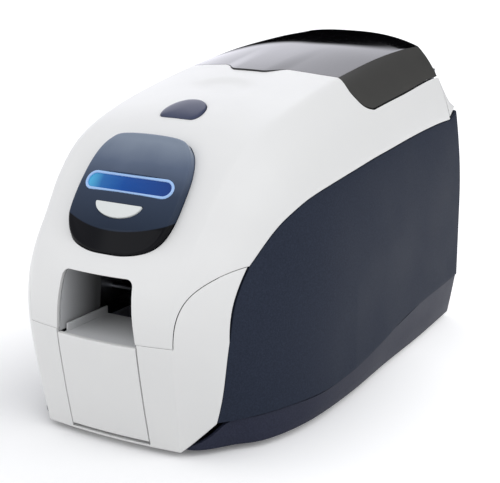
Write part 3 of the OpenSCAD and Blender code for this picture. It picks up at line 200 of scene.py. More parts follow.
def lookup(at, table):
    """Straight-line value of a table of pairs."""
    if at <= table[0][0]:
        return table[0][1]
    for (x0, y0), (x1, y1) in zip(table, table[1:]):
        if at <= x1:
            return y0 + (y1 - y0) * (at - x0) / (x1 - x0)
    return table[-1][1]


def mix(low, high, share):
    return low * (1 - share) + high * share


def blend(share):
    share = min(max(share, 0), 1)
    return share * share * (3 - 2 * share)


def on_curve(points, u):
    """Smooth curve through the control points, at step u."""
    values = [Vector(p) if isinstance(p, tuple) else Vector((p, 0)) for p in points]
    i = min(max(math.floor(u), 0), len(values) - 2)
    f = u - i
    b, c = values[i], values[i + 1]
    a = values[i - 1] if i else 2 * b - c
    d = values[i + 2] if i + 2 < len(values) else 2 * c - b
    there = 0.5 * (2 * b + (c - a) * f + (2 * a - 5 * b + 4 * c - d) * f ** 2
                   + (3 * b - a - 3 * c + d) * f ** 3)
    return there if isinstance(points[0], tuple) else there[0]


def side_x(y):
    return lookup(y, SIDE_WIDTHS)


def skin(u, v):
    """Outer skin in mm: u from the front foot to the rear top, v 0 centre, 1 shoulder, 2 flat side."""
    p = on_curve(CENTRE_LINE, u)
    k = on_curve(SHOULDER_LINE, u)
    x = on_curve(SHOULDER_X, u)
    a = abs(v)
    if a <= 1:
        sag = a ** mix(2, FLAT_CROWN, blend((u - 9) / 2))
        return Vector((x * v, p[0] + (k[0] - p[0]) * sag, p[1] + (k[1] - p[1]) * sag))
    c = on_curve(SIDE_LINE, u)
    w = side_x(c[0]) - x
    reach = on_curve(FLANK_REACH, u)
    angle = math.radians(on_curve(FLANK_ANGLE, u))
    t = min(a, 2) - 1
    near, far, end = 3 * (1 - t) ** 2 * t, 3 * (1 - t) * t * t, t ** 3
    drop = near * reach * math.sin(angle) / (c - k).length + far * FLANK_PULL + end
    out = near * reach * math.cos(angle) / w + far + end
    return Vector((math.copysign(x + w * out, v), k[0] + (c[0] - k[0]) * drop,
                   k[1] + (c[1] - k[1]) * drop))


NUDGE = 0.02


def skin_out(u, v):
    along = skin(u + NUDGE, v) - skin(u - NUDGE, v)
    across = skin(u, v + NUDGE) - skin(u, v - NUDGE)
    return across.cross(along).normalized()


def step_length(u, v):
    """Millimetres on the skin for one step of v."""
    return (skin(u, v + NUDGE) - skin(u, v - NUDGE)).length / (2 * NUDGE)


# Half a seam is turned into steps of u, which are about this many mm long at the front and on the flank.
FRONT_STEP, FLANK_STEP = 40, 12
# Where the lid meets the casing: from this u and v, over this rise of u, the seam spreads to the flank.
SEAM_U, SEAM_V, SEAM_RISE, SEAM_SPREAD, SEAM_POWER = 2, 1.02, 2.55, 0.39, 1.9
EDGE_FROM_U = 4.6
EDGE_LINE = [1.42, 1.457, 1.519, 1.572, 1.603, 1.614, 1.618, 1.62, 1.62, 1.62]


def lid_edge(u):
    """Where the lid ends on the flank, above the casing and then above the side panel."""
    if u < EDGE_FROM_U - 0.05:
        return SEAM_V + SEAM_SPREAD * (max(u - SEAM_U, 0) / SEAM_RISE) ** SEAM_POWER
    return on_curve(EDGE_LINE, max(u - EDGE_FROM_U, 0))


def alone(piece):
    """Selects one piece and makes it active."""
    bpy.ops.object.select_all(action="DESELECT")
    piece.select_set(True)
    bpy.context.view_layer.objects.active = piece


def press_sheet(name, rows, columns, place, weld=False):
    """A grid pressed to a form: place(a, b) gives each point in mm, a along the rows, b across them."""
    bpy.ops.object.select_all(action="DESELECT")
    bpy.ops.mesh.primitive_grid_add(x_subdivisions=columns, y_subdivisions=rows, size=2)
    piece = bpy.context.object
    piece.name = name
    for vertex in piece.data.vertices:
        vertex.co = place((vertex.co.y + 1) / 2, (vertex.co.x + 1) / 2) * MM
    if weld:
        bpy.ops.object.mode_set(mode="EDIT")
        bpy.ops.mesh.select_all(action="SELECT")
        bpy.ops.mesh.remove_doubles(threshold=1e-6)
        bpy.ops.object.mode_set(mode="OBJECT")
    return piece


def apply_modifier(piece, kind, **settings):
    alone(piece)
    modifier = piece.modifiers.new(kind.lower(), kind)
    for setting, value in settings.items():
        setattr(modifier, setting, value)
    bpy.ops.object.modifier_apply(modifier=modifier.name)


def thicken(piece, thickness=WALL):
    """Gives a pressed sheet its wall, inward."""
    apply_modifier(piece, "SOLIDIFY", thickness=thickness * MM, offset=-1, use_even_offset=False)


def cut_away(piece, *cutters):
    for cutter in cutters:
        apply_modifier(piece, "BOOLEAN", operation="DIFFERENCE", object=cutter, solver="EXACT")
        bpy.data.objects.remove(cutter)


def ease_edges(piece, width=0.35, angle=38, segments=2, smooth=32):
    """Rounds the moulded edges, then shades the faces smoothly between them."""
    if width:
        apply_modifier(piece, "BEVEL", width=width * MM, segments=segments, limit_method="ANGLE",
                       angle_limit=math.radians(angle), use_clamp_overlap=True)
    alone(piece)
    bpy.ops.object.shade_smooth_by_angle(angle=math.radians(smooth))


def turn_faces_out(piece):
    alone(piece)
    bpy.ops.object.mode_set(mode="EDIT")
    bpy.ops.mesh.select_all(action="SELECT")
    bpy.ops.mesh.normals_make_consistent(inside=False)
    bpy.ops.object.mode_set(mode="OBJECT")


def prism(name, outline, low, high, turn=None):
    """A closed prism on an outline in mm, standing along Z unless it is turned."""
    mesh = bpy.data.meshes.new(name)
    count = len(outline)
    points = [(p[0], p[1], low) for p in outline] + [(p[0], p[1], high) for p in outline]
    faces = [list(range(count - 1, -1, -1)), list(range(count, 2 * count))]
    faces += [[i, (i + 1) % count, count + (i + 1) % count, count + i] for i in range(count)]
    mesh.from_pydata(points, [], faces)
    mesh.transform(Matrix.Scale(MM, 4) @ (turn or Matrix()))
    piece = bpy.data.objects.new(name, mesh)
    scene.collection.objects.link(piece)
    turn_faces_out(piece)
    return piece


def block(name, low, high):
    """A box in mm between two corners."""
    return prism(name, [(low[0], low[1]), (high[0], low[1]), (high[0], high[1]), (low[0], high[1])],
                 low[2], high[2])


def ring_through(points, steps):
    """Closed smooth outline through the points."""
    count = len(points)
    outline = []
    for i in range(count):
        window = [points[(i + k) % count] for k in (-1, 0, 1, 2)]
        outline += [on_curve(window, 1 + j / steps) for j in range(steps)]
    return outline


CLOUD_MM = 45


def finish(name, tone, shade, rough, grain_mm, relief, metal=0.0, specular=0.5, coat=0.0,
           speckle_mm=0.0, stretch=(1, 1, 1), dark_from=None):
    """Two close tones with a fine grain and uneven gloss, in real sizes.

    dark_from gives two depths in metres between which the colour is painted darker, as painted shade deep
    inside a chute."""
    material, tree = new_material(name)
    place = add_node(tree, "ShaderNodeTexCoord").outputs["Object"]
    place = add_node(tree, "ShaderNodeMapping", links={"Vector": place},
                     values={"Scale": stretch}).outputs[0]
    cloud = add_node(tree, "ShaderNodeTexNoise", links={"Vector": place},
                     values={"Scale": 1 / (CLOUD_MM * MM), "Detail": 3.0, "Roughness": 0.55})
    grain = add_node(tree, "ShaderNodeTexNoise", links={"Vector": place},
                     values={"Scale": 1 / (grain_mm * MM), "Detail": 2.0, "Roughness": 0.6})
    tint = add_node(tree, "ShaderNodeMix", data_type="RGBA", links={0: cloud.outputs["Fac"]},
                    values={6: linear(tone), 7: linear(shade)})
    colour = tint.outputs[2]
    if speckle_mm:
        spots = add_node(tree, "ShaderNodeTexNoise", links={"Vector": place},
                         values={"Scale": 1 / (speckle_mm * MM), "Detail": 1.0})
        bright = add_node(tree, "ShaderNodeMapRange", links={0: spots.outputs["Fac"]},
                          values={1: 0.35, 2: 0.75, 3: 0.88, 4: 1.16})
        colour = add_node(tree, "ShaderNodeVectorMath", operation="SCALE",
                          links={0: colour, "Scale": bright.outputs[0]}).outputs[0]
    if dark_from:
        # Painted shade: the colour darkens with depth, where shade falls deep in a chute.
        depth = add_node(tree, "ShaderNodeSeparateXYZ", links={0: place}).outputs["Y"]
        painted_shade = add_node(tree, "ShaderNodeMapRange", links={0: depth},
                        values={1: dark_from[0], 2: dark_from[1], 3: 1.0, 4: 0.16})
        colour = add_node(tree, "ShaderNodeVectorMath", operation="SCALE",
                          links={0: colour, "Scale": painted_shade.outputs[0]}).outputs[0]
    gloss = add_node(tree, "ShaderNodeMapRange", links={0: cloud.outputs["Fac"]},
                     values={1: 0.3, 2: 0.7, 3: rough - 0.03, 4: rough + 0.04})
    bump = add_node(tree, "ShaderNodeBump", links={"Height": grain.outputs["Fac"]},
                    values={"Strength": relief, "Distance": 0.1 * MM})
    shell = add_node(tree, "ShaderNodeBsdfPrincipled",
                     links={"Base Color": colour, "Roughness": gloss.outputs[0], "Normal": bump.outputs[0]},
                     values={"Metallic": metal, "Specular IOR Level": specular, "Coat Weight": coat,
                             "Coat Roughness": 0.08})
    add_node(tree, "ShaderNodeOutputMaterial", links={"Surface": shell.outputs[0]})
    return material


def dress(material, *targets):
    """Gives pieces, or the frame's own nodes by name, their material."""
    for target in targets:
        mesh = (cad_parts[target] if isinstance(target, str) else target).data
        mesh.materials.clear()
        mesh.materials.append(material)


def stands_for(piece, node, body):
    """The piece is shown instead of one node of the frame."""
    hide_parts(node)
    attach(piece, body)


# Satin white ABS, lightly spark-eroded in the mould: it spreads highlights over about a hand's width.
white_abs = finish("satin_white_abs", "#EFEFED", "#EAEAE9", 0.38, 0.5, 0.08, specular=0.4)

MOUTH_HALF, MOUTH_TOP_HALF, MOUTH_TOP, MOUTH_FLOOR = 30.5, 27, 115.5, 73.5
MOUTH_CORNER, BELOW_SHELL = 5, 60
mouth_right = [(MOUTH_HALF, BELOW_SHELL), (MOUTH_HALF, MOUTH_FLOOR)]
for step in range(7):
    turn = math.radians(15 * step)
    mouth_right.append((MOUTH_TOP_HALF - MOUTH_CORNER * (1 - math.cos(turn)),
                        MOUTH_TOP - MOUTH_CORNER * (1 - math.sin(turn))))
mouth = mouth_right + [(-x, z) for x, z in reversed(mouth_right)]

ALONG_Y = Matrix.Rotation(math.radians(90), 4, "X")
ALONG_X = Matrix.Rotation(math.radians(90), 4, "Z") @ Matrix.Rotation(math.radians(90), 4, "X")

# The console leans back with the nose; outlines on it are (x, s), with s up its slope.
PANEL_RISE, PANEL_RUN, PANEL_FOOT = 53.5, 45.5, (0, -163, 139)
PANEL_SLOPE = math.atan2(PANEL_RISE, PANEL_RUN)
ON_PANEL = Matrix.Translation(PANEL_FOOT) @ Matrix.Rotation(PANEL_SLOPE, 4, "X")
SHIELD_RIGHT = [(12, -13), (23, -10), (31, -5), (36, 3), (38.5, 15), (39, 30), (38, 45), (35, 57), (30, 65),
                (22, 70)]
SHIELD_LOW, SHIELD_HIGH, SHIELD_MIDDLE = -13.5, 71.5, 29
shield = ring_through([(0, SHIELD_LOW)] + SHIELD_RIGHT + [(0, SHIELD_HIGH)]
                      + [(-x, s) for x, s in reversed(SHIELD_RIGHT)], 6)


def grown(outline, margin, middle=0.0):
    """An outline moved out by a margin, from its own middle."""
    wide = max(p[0] for p in outline)
    tall = max(p[1] - middle for p in outline)
    return [(p[0] * (1 + margin / wide), middle + (p[1] - middle) * (1 + margin / tall)) for p in outline]


RELEASE_U = 7.965
release_at = skin(RELEASE_U, 0)
release_up = skin_out(RELEASE_U, 0)
release_tilt = math.atan2(-release_up.y, release_up.z)
ON_RELEASE = Matrix.Translation(release_at) @ Matrix.Rotation(release_tilt, 4, "X")
ARCH_RIGHT = [(8, -8.4), (12, -7.8), (14.4, -4.6), (15, 0.5), (14, 6.5), (11, 12.3), (6, 16.6)]
ARCH_LOW, ARCH_HIGH = -8.4, 18
arch = ring_through([(0, ARCH_LOW)] + ARCH_RIGHT + [(0, ARCH_HIGH)]
                    + [(-x, t) for x, t in reversed(ARCH_RIGHT)], 6)

VISOR_U, VISOR_SWEEP, FOLD_RUN, CORNER_ROUND = 9.81, 0.13, 0.2, 0.25
VISOR_V, VISOR_REAR_V, VISOR_BEND_U = 1.36, 1.32, 10.8
TAB_HALF_V, TAB_SLOPE_V, TAB_U = 0.44, 0.26, 0.21


def visor_edge(v):
    """Front edge of the feeder cover, with the finger tab in its middle."""
    a = abs(v)
    if a <= 1:
        return VISOR_U + VISOR_SWEEP * a ** 4 - TAB_U * blend((TAB_HALF_V - a) / TAB_SLOPE_V)
    corner = CORNER_ROUND * ((a - 1) / (VISOR_V - 1)) ** 10
    return VISOR_U + VISOR_SWEEP * (1 - blend((a - 1) / FOLD_RUN)) + corner


def visor_low(u):
    """Lower edge of the feeder cover along the casing."""
    return mix(VISOR_V, VISOR_REAR_V, blend((u - VISOR_BEND_U) / (LAST_U - VISOR_BEND_U)))


visor_hole = []
for i in range(73):
    v = VISOR_V * math.sin(math.radians(90 * i / 72))
    p = skin(visor_edge(v), v)
    visor_hole.append((p.x + (SEAM if v > 1 else 0), p.y - SEAM))
for i in range(1, 25):
    u = mix(visor_edge(VISOR_V), LAST_U, i / 24)
    p = skin(u, visor_low(u))
    visor_hole.append((p.x + SEAM, p.y))
BEHIND_LID = 190
visor_hole.append((visor_hole[-1][0], BEHIND_LID))
visor_hole += [(-x, y) for x, y in reversed(visor_hole[1:])]

DIP_Y, DIP_HALF_X, DIP_HALF_Y, DIP_DEPTH, DIP_SLOPE = -32, 27, 19, 2.0, 0.55


def finger_dip(p):
    """Shallow oval recess in front of the feeder cover's tab."""
    far = math.hypot(p.x / DIP_HALF_X, (p.y - DIP_Y) / DIP_HALF_Y)
    return DIP_DEPTH * blend((1 - far) / DIP_SLOPE)


def lid_place(a, b):
    u = mix(SEAM_U + SEAM / 2 / FRONT_STEP, LAST_U, a)
    edge = lid_edge(u)
    edge -= SEAM / step_length(u, edge)
    c = mix(-2, 2, b)
    v = c if abs(c) <= 1 else math.copysign(1 + (edge - 1) * (abs(c) - 1), c)
    p = skin(u, v)
    return p - Vector((0, 0, finger_dip(p)))


lid = press_sheet("top_lid", 180, 96, lid_place)
thicken(lid)
# The cutters reach past the shell on both sides and leave a gap round what is let in.
INSET_GAP = 0.4
cut_away(lid, prism("mouth_cut", mouth, 120, 210, ALONG_Y),
         prism("panel_cut", grown(shield, INSET_GAP, SHIELD_MIDDLE), -30, 30, ON_PANEL),
         prism("release_cut", grown(arch, INSET_GAP), -15, 15, ON_RELEASE),
         prism("visor_cut", visor_hole, 150, 270))
ease_edges(lid, 0.5, segments=3)
dress(white_abs, lid)
stands_for(lid, "lid", "lid")


# Lid rear cover
# The piece that closes the back of the lid, notched for the two hinge ears.
# The same white ABS, clipped to the lid's rear edge.
REAR_Y = 181
HINGE_Z = 178
REAR_V = 1.6
SHELF_Y, SHELF_Z = 161.8, 196.5
BULGE = 0.35
REAR_STEP, REAR_IN, REAR_UP = 1.5, (1, 3), (0.5, -3.6)
# Corners of the right-hand notches for the hinge ears of the lid and of the feeder cover.
LID_EAR = ((35.4, 168, 160), (48.3, 200, 187))
COVER_EAR = ((68, 150, 185), (71.8, 167, 205))


def rear_place(a, b):
    v = mix(-REAR_V, REAR_V, b)
    if abs(v) > VISOR_REAR_V:
        front = skin(LAST_U, v) + Vector((0, REAR_STEP, 0))
    else:
        corner_v = VISOR_REAR_V + 0.01
        front = Vector((skin(LAST_U, corner_v).x * v / corner_v, SHELF_Y, SHELF_Z))
    f = max(abs(v) - VISOR_REAR_V, 0) / (REAR_V - VISOR_REAR_V)
    rear = Vector((front.x - math.copysign(mix(*REAR_IN, f), v), REAR_Y, HINGE_Z + mix(*REAR_UP, f)))
    bulge = Vector((0, BULGE, BULGE)) * math.sin(math.pi * a)
    return mix(front, rear, a) + bulge


rear_cover = press_sheet("lid_rear_cover", 12, 96, rear_place)
thicken(rear_cover)
for side in (1, -1):
    for low, high in (LID_EAR, COVER_EAR):
        xs = sorted((side * low[0], side * high[0]))
        cut_away(rear_cover, block("ear_cut", (xs[0], *low[1:]), (xs[1], *high[1:])))
ease_edges(rear_cover)
dress(white_abs, rear_cover)
stands_for(rear_cover, "lid_rear_cover", "lid")


# Front casing
# The white band round the card mouth and the hopper door, from the foot to the lid's seam.
# Moulded in the same ABS, screwed to the base tray from behind.

# Its rear edge bows back to the side panel: foot corner first, then the arc that the panel shares.
HEEL_U, HEEL_V, HEEL_CURVE = 0.58, 1.287, 1.2
PANEL_U, PANEL_V, PANEL_BOW = 2.9, 1.42, 0.025
# Shares of the pressed sheet for the front face and for the corner, and what v each one reaches.
FRONT_SHARE, CORNER_SHARE = 0.4, 0.46
CORNER_V, FLANK_V, CROWDING = 1.0195, 1.41, 1.6


def casing_low(v):
    if v <= 1:
        return 0
    if v <= HEEL_V:
        return HEEL_U * ((v - 1) / (HEEL_V - 1)) ** HEEL_CURVE
    return PANEL_U - math.sqrt((PANEL_V - v) / PANEL_BOW)


def casing_high(v):
    if v <= SEAM_V:
        return SEAM_U - SEAM / 2 / FRONT_STEP
    return SEAM_U + SEAM_RISE * ((v - SEAM_V) / SEAM_SPREAD) ** (1 / SEAM_POWER) - SEAM / 2 / FLANK_STEP


def casing_place(a, b):
    c = abs(mix(-1, 1, b))
    if c <= FRONT_SHARE:
        v = c / FRONT_SHARE
    elif c <= CORNER_SHARE:
        v = mix(1, CORNER_V, (c - FRONT_SHARE) / (CORNER_SHARE - FRONT_SHARE))
    else:
        v = mix(CORNER_V, FLANK_V, ((c - CORNER_SHARE) / (1 - CORNER_SHARE)) ** CROWDING)
    edge = SEAM / 2 / step_length(2, v) if v > HEEL_V else 0
    return skin(mix(casing_low(v), casing_high(v), a), math.copysign(v - edge, b - 0.5))


casing = press_sheet("front_casing", 60, 200, casing_place)
thicken(casing)
SILL, WINDOW_TOP = 5.2, 95
WINDOW_HALF = MOUTH_HALF + 0.5
window = [(-WINDOW_HALF, SILL), (WINDOW_HALF, SILL), (WINDOW_HALF, WINDOW_TOP), (-WINDOW_HALF, WINDOW_TOP)]
cut_away(casing, prism("window_cut", window, 145, 210, ALONG_Y))
ease_edges(casing, 0.45)
dress(white_abs, casing)
stands_for(casing, "front_casing", "base")


# Hopper door
# The white flap below the card mouth, which folds down to reach rejected cards.
# A curved ABS plate with a hinge barrel along its foot.
DOOR_HALF, DOOR_FOOT, DOOR_TOP = 30, 7.8, 73
lowest_z, next_z, mouth_z = (z for _, z in CENTRE_LINE[:3])
DOOR_LOW = (DOOR_FOOT - lowest_z) / (next_z - lowest_z)
DOOR_HIGH = 1 + (DOOR_TOP - next_z) / (mouth_z - next_z)
BARREL_R, BARREL_Y, BARREL_Z = 2.3, -167, 9.4


def door_place(a, b):
    u = mix(DOOR_LOW, DOOR_HIGH, a)
    return skin(u, mix(-DOOR_HALF, DOOR_HALF, b) / on_curve(SHOULDER_X, u))


door = press_sheet("hopper_door", 40, 32, door_place)
thicken(door)
bpy.ops.object.select_all(action="DESELECT")
bpy.ops.mesh.primitive_cylinder_add(vertices=40, radius=BARREL_R * MM, depth=2 * DOOR_HALF * MM)
barrel = bpy.context.object
barrel.data.transform(Matrix.Translation(Vector((0, BARREL_Y, BARREL_Z)) * MM)
                      @ Matrix.Rotation(math.radians(90), 4, "Y"))
apply_modifier(door, "BOOLEAN", operation="UNION", object=barrel, solver="EXACT")
bpy.data.objects.remove(barrel)
ease_edges(door, 0.5, segments=3)
dress(white_abs, door)
stands_for(door, "hopper_door", "hopper_door")


# Side panels
# Two slate flanks that carry the colour of the machine, flush with the white shells.
# ABS with a fine leather-like erosion, clipped to the chassis standoffs.
slate_abs = finish("eroded_slate_abs", "#2A303E", "#2E3442", 0.48, 0.7, 0.3, specular=0.05, speckle_mm=1.1)
LOW_LINE = [(-160, 22.5), (-100, 22), (-60, 20.6), (-25, 21.5), (21, 26), (67, 32.5), (112, 35.5),
            (152, 36.6), (180, 38)]
CORNER = 4


def low_z(y):
    """Lower edge of the side panels at a depth y."""
    for i, ((y0, _), (y1, _)) in enumerate(zip(LOW_LINE, LOW_LINE[1:])):
        if y <= y1 or y1 == LOW_LINE[-1][0]:
            return on_curve([z for _, z in LOW_LINE], i + (y - y0) / (y1 - y0))


def panel_edge(u):
    return PANEL_V - PANEL_BOW * (PANEL_U - u) ** 2 if u < PANEL_U else max(lid_edge(u), PANEL_V)


# Shares of the pressed sheet: down to the flat side, back to the skin's end, and on to the rear corner.
CURVED_SHARE, SKIN_SHARE, TURN_SHARE = 0.75, 0.88, 0.92
PANEL_FIRST_U, PANEL_CROWDING = 0.45, 1.15
TAIL_SHARE, TAIL_RISE = 0.28, 1.182033


def panel_point(u, b):
    edge = panel_edge(u) + SEAM / 2 / step_length(u, 1.5)
    if b <= CURVED_SHARE:
        return skin(u, mix(edge, 2, b / CURVED_SHARE))
    c = skin(u, 2)
    return Vector((c.x, c.y, c.z * (1 - (b - CURVED_SHARE) / (1 - CURVED_SHARE))))


def panel_place(a, b):
    if a <= SKIN_SHARE:
        return panel_point(mix(PANEL_FIRST_U, LAST_U, (a / SKIN_SHARE) ** PANEL_CROWDING), b)
    p = panel_point(LAST_U, b)
    turn = math.radians(90) * max(a - TURN_SHARE, 0) / (1 - TURN_SHARE)
    y = REAR_Y - CORNER * (1 - math.sin(turn))
    y = mix(p.y, y, min((a - SKIN_SHARE) / (TURN_SHARE - SKIN_SHARE), 1))
    x = p.x + side_x(y) - side_x(p.y) - CORNER * (1 - math.cos(turn))
    # The top edge rises behind the skin's end, up to the rear cover.
    return Vector((x, y, p.z + TAIL_RISE * max(TAIL_SHARE - b, 0) * (y - p.y)))


BEYOND, UNDER = 200, -20
foot = [(-BEYOND, UNDER)] + [(y, low_z(y)) for y in range(-BEYOND, BEYOND, 5)]
foot += [(BEYOND, LOW_LINE[-1][1]), (BEYOND, UNDER)]
for side, name in ((1, "right"), (-1, "left")):
    panel = press_sheet("side_panel_" + name, 160, 80, panel_place)
    thicken(panel)
    cut_away(panel, prism("foot_cut", foot, 0, 130, ALONG_X))
    if side < 0:
        panel.data.transform(Matrix.Scale(-1, 4, (1, 0, 0)))
        panel.data.flip_normals()
    ease_edges(panel, 0.5, segments=3)
    dress(slate_abs, panel)
    stands_for(panel, "side_panel_" + name, "base")


# Base tray
# The dark tub under the panels, which flares up from its foot to meet them.
# Moulded in charcoal ABS, with a floor and an open top behind the casing.
charcoal_abs = finish("eroded_charcoal_abs", "#2B2E3E", "#303342", 0.42, 0.7, 0.3, specular=0.1,
                      speckle_mm=1.1)
FOOT_TOP = 4
FLOOR_TOP = 6.5
RIM_GAP = 0.8
TUB_WALL, TUB_RIM, FOOT_CHAMFER, FOOT_ROUND = 3.2, 2.2, 1.2, 0.35
TUB_AIM_FRONT, TUB_AIM_REAR = -120, 140
TUB_LOW = [(48, -162), (58, -159.5), (66, -152.5), (75, -139), (87, -124), (95, -98), (98.5, -66), (98, -17),
           (94, 42), (91, 107), (86.5, 165), (85.5, 177)]
NOTCH_TOP = 7
tub_high = [(48, -162, NOTCH_TOP), (58, -159.5, 8), (66, -152.5, 13), (74.2, -142.2, 21.6)]
tub_high += [(84, -126.5, low_z(-126.5) - RIM_GAP), (93.6, -99.5, low_z(-99.5) - RIM_GAP)]
tub_high += [(side_x(y) - 1, y, low_z(y) - RIM_GAP) for _, y in TUB_LOW[6:]]


def rounded_end(x, y, z):
    """Rear corner of the tub, turned on the panel's own radius."""
    return [(x - CORNER * (1 - math.cos(t)), REAR_Y - CORNER * (1 - math.sin(t)), z)
            for t in (math.radians(15 * k) for k in range(1, 7))]


steps = [i / 4 for i in range(4 * (len(TUB_LOW) - 1) + 1)]
NOTCH = ((0, -158), (39, -158), (39.01, -162))
front_low = [(x, y, FOOT_TOP) for x, y in NOTCH]
front_high = [(x, y, NOTCH_TOP) for x, y in NOTCH]
low_right = front_low + [(*on_curve(TUB_LOW, s), FOOT_TOP) for s in steps]
low_right += rounded_end(*TUB_LOW[-1], FOOT_TOP)
high_right = front_high + [(*on_curve([(x, y) for x, y, _ in tub_high], s),
                            on_curve([z for _, _, z in tub_high], s)) for s in steps]
end_y = TUB_LOW[-1][1]
high_right += rounded_end(side_x(end_y) - 1, end_y, low_z(end_y + 1) - RIM_GAP)
right = [(Vector(p), Vector(q)) for p, q in zip(low_right, high_right)]
ring = right + [(Vector((-p.x, p.y, p.z)), Vector((-q.x, q.y, q.z))) for p, q in reversed(right[1:])]


def tub_wall(a, b):
    """Down the outside, over the rim and down the inside to the floor."""
    i = round(a * len(ring)) % len(ring)
    low, high = ring[i]
    centre = Vector((0, max(min(low.y, TUB_AIM_REAR), TUB_AIM_FRONT), 0))
    inward = (centre - Vector((low.x, low.y, 0))).normalized()
    inside = low + inward * TUB_WALL
    profile = [low + inward * FOOT_CHAMFER, low + inward * FOOT_ROUND + Vector((0, 0, FOOT_ROUND)),
               low + Vector((0, 0, FOOT_CHAMFER)), mix(low, high, 0.4), mix(low, high, 0.75), high,
               high + inward * TUB_RIM, Vector((inside.x, inside.y, FLOOR_TOP))]
    return profile[round(b * (len(profile) - 1))]


tub = press_sheet("base_tray", len(ring), 7, tub_wall, weld=True)
bpy.ops.object.mode_set(mode="EDIT")
bpy.ops.mesh.select_all(action="DESELECT")
bpy.ops.mesh.select_non_manifold(use_boundary=True)
bpy.ops.mesh.edge_face_add()
bpy.ops.object.mode_set(mode="OBJECT")
turn_faces_out(tub)
ease_edges(tub, 0)
dress(charcoal_abs, tub, "rear_panel")
stands_for(tub, "base_tray", "base")


# Rubber feet
# Four discs let into the tray, so that the printer stays put while it feeds.
# Cut from soft black rubber sheet and glued into their recesses.
soft_rubber = finish("soft_black_rubber", "#1B1B1D", "#222224", 0.78, 0.9, 0.5, specular=0.3)
dress(soft_rubber, "rubber_feet")


# Feeder cover
# The smoky visor over the card magazine, with a tab that a finger lifts.
# One polycarbonate moulding: its top is polished like glass and its flanks are left grained.
visor_plastic, tree = new_material("smoky_polycarbonate")
# The grain starts where the top folds down into the flanks.
FOLD_X = 60.2
place = add_node(tree, "ShaderNodeTexCoord").outputs["Object"]
apart = add_node(tree, "ShaderNodeSeparateXYZ", links={0: place})
width = add_node(tree, "ShaderNodeMath", operation="ABSOLUTE", links={0: apart.outputs["X"]})
flank = add_node(tree, "ShaderNodeMapRange", links={0: width.outputs[0]},
                 values={1: (FOLD_X - 0.3) * MM, 2: (FOLD_X + 0.3) * MM, 3: 0.0, 4: 1.0})
grain = add_node(tree, "ShaderNodeTexNoise", links={"Vector": place},
                 values={"Scale": 1 / (0.6 * MM), "Detail": 2.0, "Roughness": 0.6})
cloud = add_node(tree, "ShaderNodeTexNoise", links={"Vector": place},
                 values={"Scale": 1 / (30 * MM), "Detail": 3.0})
polished = add_node(tree, "ShaderNodeMix", data_type="RGBA", links={0: cloud.outputs["Fac"]},
                    values={6: linear("#050506"), 7: linear("#08080A")})
grained = add_node(tree, "ShaderNodeMix", data_type="RGBA", links={0: cloud.outputs["Fac"]},
                   values={6: linear("#383835"), 7: linear("#403F3C")})
colour = add_node(tree, "ShaderNodeMix", data_type="RGBA",
                  links={0: flank.outputs[0], 6: polished.outputs[2], 7: grained.outputs[2]})
rough = add_node(tree, "ShaderNodeMapRange", links={0: flank.outputs[0]}, values={3: 0.06, 4: 0.5})
relief = add_node(tree, "ShaderNodeMath", operation="MULTIPLY", links={0: flank.outputs[0]}, values={1: 0.25})
bump = add_node(tree, "ShaderNodeBump", values={"Distance": 0.1 * MM},
                links={"Height": grain.outputs["Fac"], "Strength": relief.outputs[0]})
shell = add_node(tree, "ShaderNodeBsdfPrincipled", values={"IOR": 1.58},
                 links={"Base Color": colour.outputs[2], "Roughness": rough.outputs[0],
                        "Normal": bump.outputs[0]})
add_node(tree, "ShaderNodeOutputMaterial", links={"Surface": shell.outputs[0]})

TAB_LIFT, TAB_SHARE = 1.1, 0.4  # mm, and the share of the cover's length that it fades over
# Within this share of the sheet the columns are even, and beyond it they crowd towards the flanks.
EVEN_SHARE = 0.55


def visor_place(a, b):
    c = mix(-1, 1, b)
    if abs(c) > EVEN_SHARE:
        c = VISOR_V * math.sin(c * math.pi / 2)
    else:
        c = VISOR_V * c * math.sin(EVEN_SHARE * math.pi / 2) / EVEN_SHARE
    u = mix(visor_edge(c), LAST_U, a)
    v = c if abs(c) <= 1 else math.copysign(1 + (abs(c) - 1) * (visor_low(u) - 1) / (VISOR_V - 1), c)
    lift = TAB_LIFT * blend((TAB_HALF_V - abs(c)) / TAB_SLOPE_V) * blend((TAB_SHARE - a) / TAB_SHARE)
    return skin(u, v) + Vector((0, 0, lift))


visor = press_sheet("feeder_cover", 60, 240, visor_place)
thicken(visor)
ease_edges(visor, 0.4, angle=50, smooth=13)
dress(visor_plastic, visor, "feeder_cover_back")
stands_for(visor, "feeder_cover", "feeder_cover")


# Control panel bezel
# The shield-shaped gloss housing let into the nose, with a dark chin folded back under an arc.
# Polished navy ABS, with openings for the display and the key; a painted sheen makes its colour paler towards
# the top.
CROWN, CROWN_HALF_X, CROWN_HALF_S = 3.2, 39, 42.5


def on_console(x, s, height=0.0):
    """Point on the crowned face of the console: x across, s up the slope, height off the face."""
    far = (x / CROWN_HALF_X) ** 2 + ((s - SHIELD_MIDDLE) / CROWN_HALF_S) ** 2
    return ON_PANEL @ Vector((x, s, height + CROWN * max(1 - far, 0)))


CHIN_S, CHIN_BOW, CHIN_SLOPE = 1.2, 0.0055, 0.275
RIM = 2.0
DEEP = 12
# Shares of the sheet for the face and for the rounded rim; the rest is the wall down into the lid.
FACE_SHARE, RIM_SHARE = 0.8, 0.92


def chin_line(x):
    return CHIN_S + CHIN_BOW * x * x


